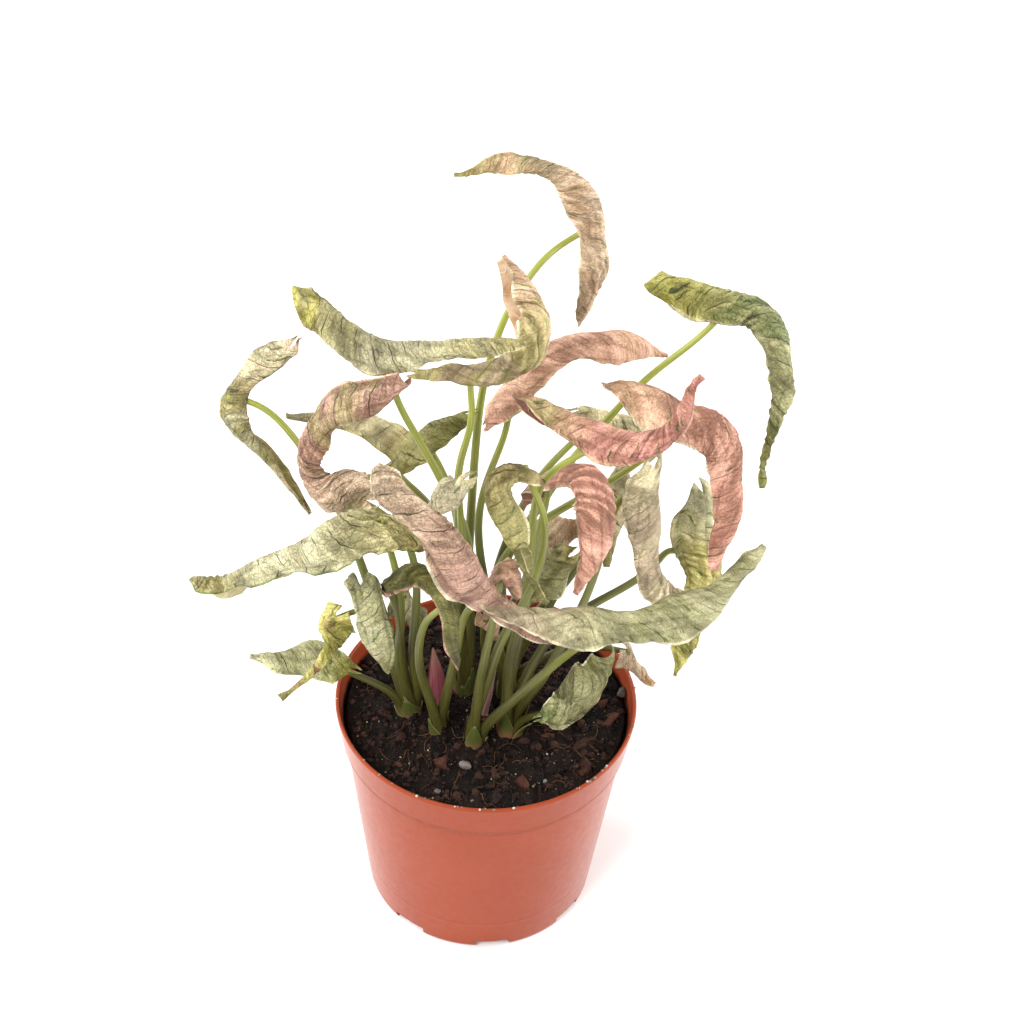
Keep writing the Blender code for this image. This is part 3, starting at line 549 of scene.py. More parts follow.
class Roll:
    """The surface of a rolled blade, as a function of its length and width."""

    SAMPLES = 160
    THICKNESS = 0.0008
    SEAT_CLEAR = 0.0018
    MOST_ASLANT = 0.8
    MOST_ASIDE = 0.25
    BEND_STEP = 0.04
    DIRECTION_STEP = 0.03
    HALF_ARC_STEPS = 8

    def __init__(self, leaf: Leaf) -> None:
        """Reads the leaf's line and prepares its sections."""
        stations = []
        for px, py, width, back in leaf.line:
            place = VIEW.seen(px, py, round(DEPTH_SPREAD * back))
            stations.append(Vector((*place, max(VIEW.width(width, place), BLADE_TIP))))
        self.leaf = leaf
        self.line = smooth_line(stations)
        self.reach = [0.0]
        for one, other in zip(self.line, self.line[1:]):
            self.reach.append(self.reach[-1] + (other - one).xyz.length)
        self.length = self.reach[-1]
        self.widest = max(station.w for station in stations)
        self.ripples = max(FEWEST_RIPPLES, self.length / RIPPLE_LENGTH)
        self.phase = math.radians(3 * leaf.opens)
        opens = math.radians(leaf.opens)
        turned = math.radians(leaf.turned)
        picture = math.cos(opens) * VIEW.right + math.sin(opens) * VIEW.up
        self.open_side = math.cos(turned) * VIEW.forward + math.sin(turned) * picture
        self.sections = [self.measure(i / self.SAMPLES) for i in range(self.SAMPLES + 1)]
        self.bends = [self.bend(i / self.SAMPLES) for i in range(self.SAMPLES + 1)]

    def station(self, share: float) -> Vector:
        """The middle of the blade and its width, a share of the way along."""
        goal = min(max(share, 0.0), 1.0) * self.length
        i = 0
        while i < len(self.line) - 2 and self.reach[i + 1] < goal:
            i += 1
        span = self.reach[i + 1] - self.reach[i]
        return self.line[i].lerp(self.line[i + 1], (goal - self.reach[i]) / span)

    def bend(self, share: float) -> float:
        """How sharply the line bends there, as its radius of bending to the blade's."""
        step = self.BEND_STEP
        before = (self.station(share) - self.station(share - step)).xyz
        after = (self.station(share + step) - self.station(share)).xyz
        if min(before.length, after.length) < 0.2 * step * self.length:
            return 0.0
        return before.angle(after) / (step * self.length) * self.widest / 2

    def bending(self, share: float) -> float:
        """How much the blade is wrinkled by its bending there, from 0 to 1."""
        i = round(min(max(share, 0.0), 1.0) * self.SAMPLES)
        return smoothstep(0.12, 0.50, self.bends[i])

    def measure(self, share: float) -> tuple[Vector, Vector, Vector, float, float]:
        """Works out one section of the roll.

        The arc is as large, and as far aside, as makes it look as wide as it does
        in the photograph, with its middle on the blade's line.

        Args:
            share: how far along the blade the section is, from 0 to 1.

        Returns:
            The arc's middle, its bulge and side directions, its radius and half angle.
        """
        here = self.station(share)
        step = self.DIRECTION_STEP
        along = (self.station(share + step) - self.station(share - step)).xyz.normalized()
        bulge = -(self.open_side - self.open_side.dot(along) * along).normalized()
        winding = math.radians(self.leaf.twist) * (share - self.leaf.joint)
        bulge = Matrix.Rotation(winding, 3, along) @ bulge
        across = bulge.cross(along)
        ends = min(1.0, min(share, 1.0 - share) / END_SHARE)
        half = math.radians(END_CURL + (self.leaf.curl - END_CURL) * math.sin(ends * math.pi / 2))
        sideways = along.cross(VIEW.eye - here.xyz).normalized()
        lean = math.atan2(bulge.dot(sideways), across.dot(sideways))
        steps = self.HALF_ARC_STEPS
        seen_across = [math.sin(lean + half * i / steps) for i in range(-steps, steps + 1)]
        ripple = 1 + RIPPLE * ends * math.sin(2 * math.pi * self.ripples * share + self.phase)
        radius = ripple * here.w / (max(seen_across) - min(seen_across))
        lift = radius * (1 + math.cos(half)) / 2
        aside = radius * (max(seen_across) + min(seen_across)) / 2 - math.sin(lean) * lift
        return here.xyz - lift * bulge - aside * sideways, bulge, across, radius, half

    def section(self, share: float) -> tuple[Vector, Vector, Vector, float, float]:
        """A section between the two nearest that were worked out."""
        place = min(max(share, 0.0), 1.0) * self.SAMPLES
        i = min(int(place), self.SAMPLES - 1)
        part = place - i
        one, other = self.sections[i], self.sections[i + 1]
        return (
            one[0].lerp(other[0], part),
            one[1].lerp(other[1], part).normalized(),
            one[2].lerp(other[2], part).normalized(),
            one[3] + (other[3] - one[3]) * part,
            one[4] + (other[4] - one[4]) * part,
        )

    def wall(self, share: float, side: float, raised: float = 0.0) -> Vector:
        """A point of the outer face.

        Args:
            share: how far along the blade, from 0 to 1.
            side: how far across, from -1 at one margin to 1 at the other.
            raised: how far the point stands out of the smooth face.

        Returns:
            The point, in metres.
        """
        middle, bulge, across, radius, half = self.section(share)
        angle = half * side
        size = min(1.0, 2 * radius / NARROW)
        turn = 2 * math.pi * self.ripples * share * (1.3 if side > 0 else 0.8) + 2 * self.phase
        wave = MARGIN_WAVE * size * side * side * math.sin(turn)
        out = math.sin(angle) * across + math.cos(angle) * bulge
        return middle + (radius + wave + raised) * out

    def way_in(self, comes: Vector) -> list[Vector]:
        """The last points of the stalk, in through the open side to the midrib.

        Args:
            comes: a point that the stalk comes from.

        Returns:
            Two points on its way in, one inside the roll and one in the midrib.
        """
        _, bulge, across, radius, _ = self.section(self.leaf.joint)
        along = across.cross(bulge)
        wall = self.wall(self.leaf.joint, 0.0)
        way = comes - wall
        depth = max(-way.dot(bulge), MM)
        aslant = min(max(way.dot(along) / depth, -self.MOST_ASLANT), self.MOST_ASLANT)
        aside = min(max(way.dot(across) / depth, -self.MOST_ASIDE), self.MOST_ASIDE)
        inwards = aslant * along + aside * across - bulge
        return [
            wall + 2 * (radius + MM) * inwards,
            wall + (radius + MM) * inwards,
            wall - (self.THICKNESS + self.SEAT_CLEAR) * bulge,
            wall - 0.5 * self.THICKNESS * bulge,
        ]


def linear(colour: str | Tint) -> tuple[float, float, float, float]:
    """Turns a hexadecimal sRGB colour to linear values.

    Args:
        colour: the colour, such as "#c5664a", or a tint.

    Returns:
        Red, green and blue in linear light, with an alpha of 1.
    """
    code = colour.value if isinstance(colour, Tint) else colour
    channels = [int(code[i:i + 2], 16) / 255 for i in (1, 3, 5)]
    red, green, blue = (
        c / 12.92 if c <= 0.04045 else ((c + 0.055) / 1.055) ** 2.4 for c in channels
    )
    return red, green, blue, 1.0


class Nodes:
    """The node tree of one material, with the few kinds of node that the finishes share."""

    def __init__(self, name: str) -> None:
        """Starts a material with only its Principled BSDF."""
        self.material = bpy.data.materials.new(name)
        self.material.use_nodes = True
        self.tree = self.material.node_tree
        self.shader = self.tree.nodes["Principled BSDF"]

    def add(self, kind: str, inputs: dict[Any, Any], **settings: Any) -> bpy.types.Node:
        """Adds a shader node with its settings and its links.

        Args:
            kind: the node's type, without "ShaderNode".
            inputs: for each input socket, a value or the output socket that feeds it.
            **settings: the node's own settings.

        Returns:
            The new node.
        """
        node = self.tree.nodes.new("ShaderNode" + kind)
        for name, value in settings.items():
            setattr(node, name, value)
        for socket, value in inputs.items():
            self.feed(node.inputs[socket], value)
        return node

    def feed(self, socket: bpy.types.NodeSocket, value: Any) -> None:
        """Links an output to an input socket, or sets the input to a plain value."""
        if isinstance(value, bpy.types.NodeSocket):
            self.tree.links.new(value, socket)
        else:
            socket.default_value = value

    def uv(self, name: str) -> bpy.types.NodeSocket:
        """The piece's UV map of that name."""
        return self.add("UVMap", {}, uv_map=name).outputs[0]

    def place(self) -> bpy.types.NodeSocket:
        """The Object coordinates, in metres."""
        return self.add("TexCoord", {}).outputs["Object"]

    def attribute(self, name: str) -> bpy.types.NodeSocket:
        """A number that the piece holds at each vertex."""
        return self.add("Attribute", {}, attribute_name=name).outputs["Fac"]

    def split(self, vector: bpy.types.NodeSocket) -> bpy.types.bpy_prop_collection:
        """The three parts of a vector."""
        return self.add("SeparateXYZ", {0: vector}).outputs

    def mapped(
        self, vector: bpy.types.NodeSocket, scale: Sequence[float], moved: Sequence[float] = (0, 0, 0),
    ) -> bpy.types.NodeSocket:
        """A vector that is scaled, then moved."""
        return self.add("Mapping", {0: vector, 1: moved, 3: scale}).outputs[0]

    def noise(
        self, vector: bpy.types.NodeSocket, scale: float, detail: float = 2.0, roughness: float = 0.5,
    ) -> bpy.types.NodeSocket:
        """Noise, around 0.5."""
        return self.add("TexNoise", {0: vector, 2: scale, 3: detail, 4: roughness}).outputs[0]

    def math(self, operation: str, *values: Any) -> bpy.types.NodeSocket:
        """Arithmetic on up to three values."""
        return self.add("Math", dict(enumerate(values)), operation=operation).outputs[0]

    def ramp(
        self, value: Any, low: float, high: float, start: float = 0.0, end: float = 1.0,
    ) -> bpy.types.NodeSocket:
        """Goes smoothly from start to end, as the value goes from low to high."""
        inputs = {0: value, 1: low, 2: high, 3: start, 4: end}
        return self.add("MapRange", inputs, interpolation_type="SMOOTHSTEP").outputs[0]

    def mix(self, share: Any, one: Any, other: Any) -> bpy.types.NodeSocket:
        """Mixes two colours, each a socket, a hexadecimal colour or a tint."""
        one, other = (linear(c) if isinstance(c, (str, Tint)) else c for c in (one, other))
        return self.add("Mix", {0: share, 6: one, 7: other}, data_type="RGBA").outputs[2]

    def toned(self, colour: bpy.types.NodeSocket, tone: Any, saturation: Any = 1.0) -> bpy.types.NodeSocket:
        """A colour made lighter or darker, and more or less strong."""
        return self.add("HueSaturation", {1: saturation, 2: tone, 4: colour}).outputs[0]

    def finish(
        self, colour: Any, height: Any, strength: float, depth: float, **inputs: Any,
    ) -> bpy.types.Material:
        """Feeds the shader.

        Args:
            colour: the base colour.
            height: the height of the bumps, from 0 to 1.
            strength: how strongly they show.
            depth: how deep they are, in metres.
            **inputs: the shader's other inputs, with _ for each space.

        Returns:
            The material.
        """
        bump = self.add("Bump", {"Strength": strength, "Distance": depth, "Height": height})
        self.feed(self.shader.inputs["Normal"], bump.outputs[0])
        self.feed(self.shader.inputs["Base Color"], colour)
        for name, value in inputs.items():
            self.feed(self.shader.inputs[name.replace("_", " ")], value)
        return self.material


@dataclass(frozen=True)
class LeafSkin:
    """The upper face of a dried arrowhead leaf: a matt, papery skin.

    It gives the eye soft patches of colour that run with the side veins, thin
    dark veins sunk between small puckers, short dark flecks and a pale margin,
    with painted shade in its folds and painted highlights on its ridges.
    """

    start: Tint
    middle: Tint
    end: Tint
    patch: Tint
    fleck: Tint
    vein: Tint
    rim: Tint
    flecks: float = 0.3
    veins: float = 0.5
    patches: float = 0.5
    roughness: float = 0.50
    vein_spacing: float = 8.0

    def material(self, name: str, seed: float) -> bpy.types.Material:
        """Builds the material.

        Args:
            name: the material's name.
            seed: moves the random patterns, so that no two leaves are alike.

        Returns:
            The material.
        """
        nodes = Nodes(name)
        grown = nodes.uv("Grown")
        skin, spot = nodes.split(grown), nodes.split(nodes.uv("Place"))
        moved = nodes.mapped(grown, (1, 1, 1), (seed, 1.7 * seed, 0.0))
        soft = nodes.noise(moved, 7.0, 3.0, 0.6)

        # The side veins leave the midrib aslant, out of step on its two sides
        out = nodes.math("ABSOLUTE", skin[0])
        bent = nodes.math("MULTIPLY_ADD", out, -VEIN_SLOPE, skin[1])
        bent = nodes.math("MULTIPLY_ADD", soft, 0.07, bent)
        half = nodes.math("GREATER_THAN", skin[0], 0.0)
        rhythm = nodes.math("MULTIPLY_ADD", half, self.vein_spacing / 250, bent)
        off = nodes.math("PINGPONG", rhythm, self.vein_spacing / 200)
        side = nodes.ramp(off, 0.0, 0.0034, 1.0, 0.0)
        fading = nodes.ramp(nodes.noise(moved, 11.0, 1.0), 0.36, 0.60, 0.10, 1.0)
        side = nodes.math("MULTIPLY", side, fading)
        rib = nodes.ramp(out, 0.0, 0.006, 0.30, 0.0)
        unrest = nodes.add("TexNoise", {0: moved, 2: 30.0, 3: 2.0}).outputs[1]
        sway = (0.05, 0.05, 0.05)
        warped = nodes.add("VectorMath", {0: unrest, 1: sway, 2: moved}, operation="MULTIPLY_ADD")
        net = nodes.add("TexVoronoi", {0: warped.outputs[0], 2: 50.0}, feature="DISTANCE_TO_EDGE")
        mesh = nodes.ramp(net.outputs[0], 0.0, 0.09, 0.34, 0.0)
        veins = nodes.math("MAXIMUM", nodes.math("MAXIMUM", side, rib), mesh)

        # Patches, flecks and creases are drawn out along the side veins
        drawn = nodes.add("CombineXYZ", {0: bent, 1: skin[0], 2: seed}).outputs[0]
        patchy = nodes.noise(nodes.mapped(drawn, (10, 4, 1)), 1.0, 4.0, 0.6)
        dashes = nodes.noise(nodes.mapped(drawn, (46, 13, 1)), 1.0, 2.0)
        creases = nodes.noise(nodes.mapped(drawn, (62, 10, 1)), 1.0, 3.0, 0.55)
        grain = nodes.noise(moved, 170.0, 3.0, 0.7)
        rare = 0.70 - 0.16 * self.flecks
        dash = nodes.ramp(dashes, rare, rare + 0.045, 0.0, 0.85)

        ground = nodes.mix(nodes.ramp(spot[0], 0.03, 0.45), self.start, self.middle)
        ground = nodes.mix(nodes.ramp(spot[0], 0.55, 0.95), ground, self.end)
        ground = nodes.mix(nodes.ramp(patchy, 0.47, 0.60, 0.0, 1.3 * self.patches), ground, self.patch)
        ground = nodes.mix(dash, ground, self.fleck)
        ground = nodes.mix(nodes.math("MULTIPLY", veins, min(1.0, 1.25 * self.veins)), ground, self.vein)
        margin = nodes.math("ABSOLUTE", nodes.math("SUBTRACT", spot[1], 0.5))
        ground = nodes.mix(nodes.ramp(margin, 0.455, 0.480, 0.0, 0.9), ground, self.rim)

        # Painted shade darkens the folds and deepens their colour, and a painted highlight lightens the
        # ridges:
        # a speckled tone that follows the crease bumps, times a painted crease shade read from the relief
        stipple = nodes.math("ADD", grain, nodes.math("MULTIPLY_ADD", creases, 0.7, soft))
        tone = nodes.ramp(stipple, 1.00, 1.70, 0.66, 1.36)
        # Painted shade in the hollows and painted highlight on the ridges of the relief
        crease_shade = nodes.ramp(nodes.attribute("relief"), -0.50, 0.45, 0.56, 1.26)
        tone = nodes.math("MULTIPLY", tone, crease_shade)
        ground = nodes.toned(ground, tone, nodes.ramp(tone, 0.5, 1.3, 1.12, 0.96))

        height = nodes.math("MULTIPLY_ADD", grain, 0.16, creases)
        height = nodes.math("MULTIPLY_ADD", veins, -0.55, height)
        gloss = nodes.ramp(creases, 0.3, 0.7, self.roughness - 0.08, self.roughness + 0.10)
        return nodes.finish(
            ground, height, 1.0, 0.0014, Roughness=gloss, Specular_IOR_Level=0.32,
            Subsurface_Weight=0.06, Subsurface_Radius=(1.0, 0.7, 0.4), Subsurface_Scale=0.0015,
        )


@dataclass(frozen=True)
class LeafUnderside:
    """The underside of a dried leaf: paler and duller, with raised veins."""

    family: Family
    raised: Tint = Tint.IVORY
    roughness: float = 0.62

    def material(self) -> bpy.types.Material:
        """Builds the material."""
        nodes = Nodes(f"Leaf underside {self.family.name.lower()}")
        grown = nodes.uv("Grown")
        skin = nodes.split(grown)
        soft = nodes.noise(grown, 14.0, 4.0, 0.6)
        bent = nodes.math("MULTIPLY_ADD", nodes.math("ABSOLUTE", skin[0]), -VEIN_SLOPE, skin[1])
        off = nodes.math("PINGPONG", nodes.math("MULTIPLY_ADD", soft, 0.05, bent), 0.035)
        vein = nodes.ramp(off, 0.0, 0.007, 1.0, 0.0)
        ground = nodes.mix(nodes.ramp(soft, 0.36, 0.64), *self.family.value)
        ground = nodes.mix(nodes.math("MULTIPLY", vein, 0.3), ground, self.raised)
        height = nodes.math("MULTIPLY_ADD", vein, 0.8, soft)
        return nodes.finish(ground, height, 0.7, 0.0005, Roughness=self.roughness, Specular_IOR_Level=0.3)


@dataclass(frozen=True)
class StalkSkin:
    """A living leaf stalk: a smooth, waxy green skin with fine ribs along it.

    The foot is paler, and flushed with pink where it is wrapped in its sheath. The green
    is darker low down, which is painted shade among the stalks near the soil.
    """

    foot: str = "#9a6f55"
    # The dark low green is painted shade among the stalks near the soil
    low: str = "#4d4b1e"
    high: str = "#959a40"
    roughness: float = 0.40

    def material(self) -> bpy.types.Material:
        """Builds the material."""
        nodes = Nodes("Leaf stalk")
        uv = nodes.uv("Grown")
        rise = nodes.split(uv)[1]
        streaks = nodes.noise(nodes.mapped(uv, (16, 5, 1)), 1.0, 3.0, 0.6)
        cloudy = nodes.noise(nodes.place(), 60.0)
        ragged = nodes.math("MULTIPLY_ADD", cloudy, 0.18, rise)
        # Painted shade: darker green low down among the stalks, lighter higher up
        ground = nodes.mix(nodes.ramp(rise, 0.3, 1.6), self.low, self.high)
        ground = nodes.mix(nodes.ramp(ragged, 0.10, 0.20), self.foot, ground)
        ground = nodes.toned(ground, nodes.ramp(streaks, 0.3, 0.7, 0.72, 1.22))
        gloss = nodes.ramp(cloudy, 0.3, 0.7, self.roughness - 0.06, self.roughness + 0.10)
        return nodes.finish(
            ground, streaks, 0.35, 0.0003, Roughness=gloss,
            Subsurface_Weight=0.10, Subsurface_Radius=(0.6, 1.0, 0.3), Subsurface_Scale=0.0015,
        )


@dataclass(frozen=True)
class WingSkin:
    """The winged foot of a leaf stalk: thin green skin, pink where it leaves the soil."""

    foot: str = "#8a5a48"
    body: str = "#4f5824"
    edge: str = "#7c7448"
    roughness: float = 0.45

    def material(self) -> bpy.types.Material:
        """Builds the material."""
        nodes = Nodes("Stalk wing")
        spot = nodes.split(nodes.uv("Place"))
        streaks = nodes.noise(nodes.mapped(nodes.uv("Grown"), (24, 9, 1)), 1.0, 4.0, 0.6)
        ragged = nodes.math("MULTIPLY_ADD", streaks, 0.6, spot[0])
        ground = nodes.mix(nodes.ramp(ragged, 0.55, 0.90), self.foot, self.body)
        off = nodes.math("ABSOLUTE", nodes.math("SUBTRACT", spot[1], 0.5))
        ground = nodes.mix(nodes.ramp(off, 0.40, 0.49, 0.0, 0.8), ground, self.edge)
        ground = nodes.toned(ground, nodes.ramp(streaks, 0.3, 0.7, 0.75, 1.2))
        return nodes.finish(ground, streaks, 0.5, 0.0003, Roughness=self.roughness)


@dataclass(frozen=True)
class SheathSkin:
    """A young leaf, still furled: smooth, flushed, with long streaks."""

    name: str
    deep: str
    pale: str
    top: str
    roughness: float = 0.42

    def material(self) -> bpy.types.Material:
        """Builds the material."""
        nodes = Nodes(self.name)
        rise = nodes.split(nodes.uv("Place"))[0]
        streaks = nodes.noise(nodes.mapped(nodes.uv("Grown"), (90, 6, 1)), 1.0, 4.0, 0.6)
        ground = nodes.mix(nodes.ramp(streaks, 0.36, 0.64), self.deep, self.pale)
        ground = nodes.mix(nodes.ramp(rise, 0.55, 1.0), ground, self.top)
        return nodes.finish(
            ground, streaks, 0.5, 0.0003, Roughness=self.roughness,
            Subsurface_Weight=0.10, Subsurface_Radius=(1.0, 0.4, 0.4), Subsurface_Scale=0.001,
        )


@dataclass(frozen=True)
class PotPlastic:
    """Injection-moulded polypropylene, terracotta coloured.

    It gives the eye an even colour with a satin sheen that is paler at the sides,
    fine scuffs, a darker strip along the collar's lower edge that is painted shade,
    and a dark band on the inner wall below the rim that is partly soil stains and partly painted shade.
    """

    colour: str = "#984123"
    shade: str = "#933d20"
    # The inner wall band's colour: partly soil stains, partly painted shade inside the pot
    dust_and_shade: str = "#3e2a20"
    roughness: float = 0.44

    def material(self) -> bpy.types.Material:
        """Builds the material."""
        nodes = Nodes("Moulded polypropylene")
        place = nodes.place()
        spot = nodes.split(place)
        cloudy = nodes.noise(place, 22.0, 2.0)
        ground = nodes.mix(nodes.ramp(cloudy, 0.35, 0.65), self.colour, self.shade)
        flat = nodes.add("CombineXYZ", {0: spot[0], 1: spot[1]}).outputs[0]
        out = nodes.add("VectorMath", {0: flat}, operation="LENGTH").outputs["Value"]
        # Dark band on the inner wall below the rim: partly soil stains, partly painted shade inside the pot
        inside = nodes.ramp(out, COLLAR_RADIUS, COLLAR_RADIUS - 0.4 * WALL)
        high = nodes.ramp(spot[2], POT_HEIGHT - 0.8 * COLLAR_DEPTH, POT_HEIGHT - 0.7 * COLLAR_DEPTH)
        smears = nodes.noise(place, 130.0, 4.0, 0.7)
        specks = nodes.noise(place, 900.0, 4.0, 0.7)
        dirt_and_shade = nodes.ramp(nodes.math("ADD", smears, specks), 0.80, 1.10, 0.55, 1.0)
        dirt_and_shade = nodes.math("MULTIPLY", dirt_and_shade, nodes.math("MULTIPLY", inside, high))
        ground = nodes.mix(dirt_and_shade, ground, self.dust_and_shade)
        scuffs = nodes.noise(place, 320.0, 3.0, 0.6)
        gloss = nodes.ramp(scuffs, 0.3, 0.7, self.roughness - 0.05, self.roughness + 0.08)
        # Painted shade: the colour is darker along the collar's lower edge, and the coat is left off there
        step = nodes.math("ABSOLUTE", nodes.math("SUBTRACT", spot[2], POT_HEIGHT - COLLAR_DEPTH))
        clear = nodes.ramp(step, 0.0010, 0.0030)
        ground = nodes.toned(ground, nodes.ramp(clear, 0.0, 1.0, 0.86, 1.0))
        facing = nodes.add("LayerWeight", {0: 0.35}).outputs["Facing"]
        sheen = nodes.math("MULTIPLY", nodes.ramp(facing, 0.25, 0.85, 0.0, 1.0), clear)
        return nodes.finish(
            ground, scuffs, 0.10, 0.0003, Roughness=gloss, IOR=1.49, Specular_IOR_Level=0.20,
            Coat_Weight=sheen, Coat_Roughness=0.35,
        )


@dataclass(frozen=True)
class Loose:
    """Loose stuff in the pot, such as peat, bark, perlite or roots.

    Each grain has its own tone between two colours, with a fine speckle on it.
    """

    name: str
    dark: str
    light: str
    speck: str
    grain: float
    roughness: float
    speckle: float = 0.4

    def material(self) -> bpy.types.Material:
        """Builds the material."""
        nodes = Nodes(self.name)
        place = nodes.place()
        fine = nodes.noise(place, 1 / self.grain, 5.0, 0.7)
        own = nodes.math("MULTIPLY_ADD", fine, 0.9, nodes.attribute("tone"))
        ground = nodes.mix(nodes.ramp(own, 0.30, 1.35), self.dark, self.light)
        dots = nodes.ramp(nodes.noise(place, 2.6 / self.grain), 0.62, 0.70, 0.0, self.speckle)
        ground = nodes.mix(dots, ground, self.speck)
        return nodes.finish(
            ground, fine, 0.9, self.grain / 3, Roughness=self.roughness, Specular_IOR_Level=0.20,
        )


@dataclass(frozen=True)
class StudioPaper:
    """Plain pale background paper, with a grain too fine to see."""

    colour: str = "#fbfbfa"

    def material(self) -> bpy.types.Material:
        """Builds the material."""
        nodes = Nodes("Studio paper")
        fibre = nodes.noise(nodes.place(), 600.0)
        return nodes.finish(linear(self.colour), fibre, 0.02, 0.0001, Roughness=0.9, Specular_IOR_Level=0.1)


def finish_piece(
    name: str,
    bm: bmesh.types.BMesh,
    materials: Sequence[bpy.types.Material],
    nodes: Sequence[str],
) -> bpy.types.Object:
    """Makes a piece of a mesh, and ties it to the part.

    Args:
        name: the piece's name.
        bm: its mesh, which is freed.
        materials: its materials, in the order of their slots.
        nodes: the part's nodes that it stands for.

    Returns:
        The piece.
    """
    mesh = bpy.data.meshes.new(name)
    bm.to_mesh(mesh)
    bm.free()
    for material in materials:
        mesh.materials.append(material)
    mesh.shade_smooth()
    piece = bpy.data.objects.new(name, mesh)
    bpy.context.scene.collection.objects.link(piece)
    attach(piece, BODY)
    if nodes:
        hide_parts(*nodes)
    log.info("%s: %d faces", name, len(mesh.polygons))
    return piece


def lay_grid(
    bm: bmesh.types.BMesh,
    along: int,
    across: int,
    place: Callable[[float, float], tuple[Vector, tuple[float, float], float]],
    material: int = 0,
) -> list[bmesh.types.BMVert]:
    """Lays a grid over a surface, with its UV maps and its relief.

    Args:
        bm: the mesh that the grid is added to.
        along: how many cells it has along the surface.
        across: how many it has across.
        place: gives a point, its grown coordinates and its relief from two shares.
        material: the material slot of its faces.

    Returns:
        The new vertices.
    """
    grown = bm.loops.layers.uv.get("Grown") or bm.loops.layers.uv.new("Grown")
    spot = bm.loops.layers.uv.get("Place") or bm.loops.layers.uv.new("Place")
    relief = bm.verts.layers.float.get("relief") or bm.verts.layers.float.new("relief")
    verts = bmesh.ops.create_grid(bm, x_segments=along, y_segments=across, size=1.0)["verts"]
    shares = {vert: ((vert.co.x + 1) / 2, (vert.co.y + 1) / 2) for vert in verts}
    coordinates = {}
    for vert, (u, v) in shares.items():
        vert.co, coordinates[vert], vert[relief] = place(u, v)
    for face in {face for vert in verts for face in vert.link_faces}:
        face.material_index = material
        for loop in face.loops:
            loop[grown].uv = coordinates[loop.vert]
            loop[spot].uv = shares[loop.vert]
    return verts


def lay_tube(
    bm: bmesh.types.BMesh,
    points: Sequence[Vector],
    radius: Callable[[float], float],
    sides: int,
    groove: float = 0.0,
    material: int = 0,
) -> None:
    """Lays a closed tube along points.

    Args:
        bm: the mesh that the tube is added to.
        points: its middle line, evenly spaced.
        radius: its radius, from the share of the way along.
        sides: how many sides it has.
        groove: how deep a channel runs along it, as a share of its radius.
        material: the material slot of its faces.
    """
    length = line_length(points)
    frames = []
    normal = Vector((0.37, 0.93, 0.05))
    for i, point in enumerate(points):
        tangent = (points[min(i + 1, len(points) - 1)] - points[max(i - 1, 0)]).normalized()
        normal = (normal - normal.dot(tangent) * tangent).normalized()
        frames.append((point, normal.copy(), tangent.cross(normal)))
    last = len(points) - 1

    def place(u: float, v: float) -> tuple[Vector, tuple[float, float], float]:
        """A point of the tube's skin, u along it and v round it."""
        point, one, other = frames[round(u * last)]
        turn = 2 * math.pi * v
        dent = 1 - groove * math.exp(-((math.sin(turn / 2) / 0.28) ** 2))
        out = math.cos(turn) * one + math.sin(turn) * other
        return point + radius(u) * dent * out, (v, u * length / (100 * MM)), 0.0

    verts = lay_grid(bm, last, sides, place, material)
    bmesh.ops.remove_doubles(bm, verts=verts, dist=1e-7)
    ends = [edge for edge in bm.edges if edge.is_boundary]
    caps = bmesh.ops.holes_fill(bm, edges=ends, sides=0)["faces"]
    for face in caps:
        face.material_index = material


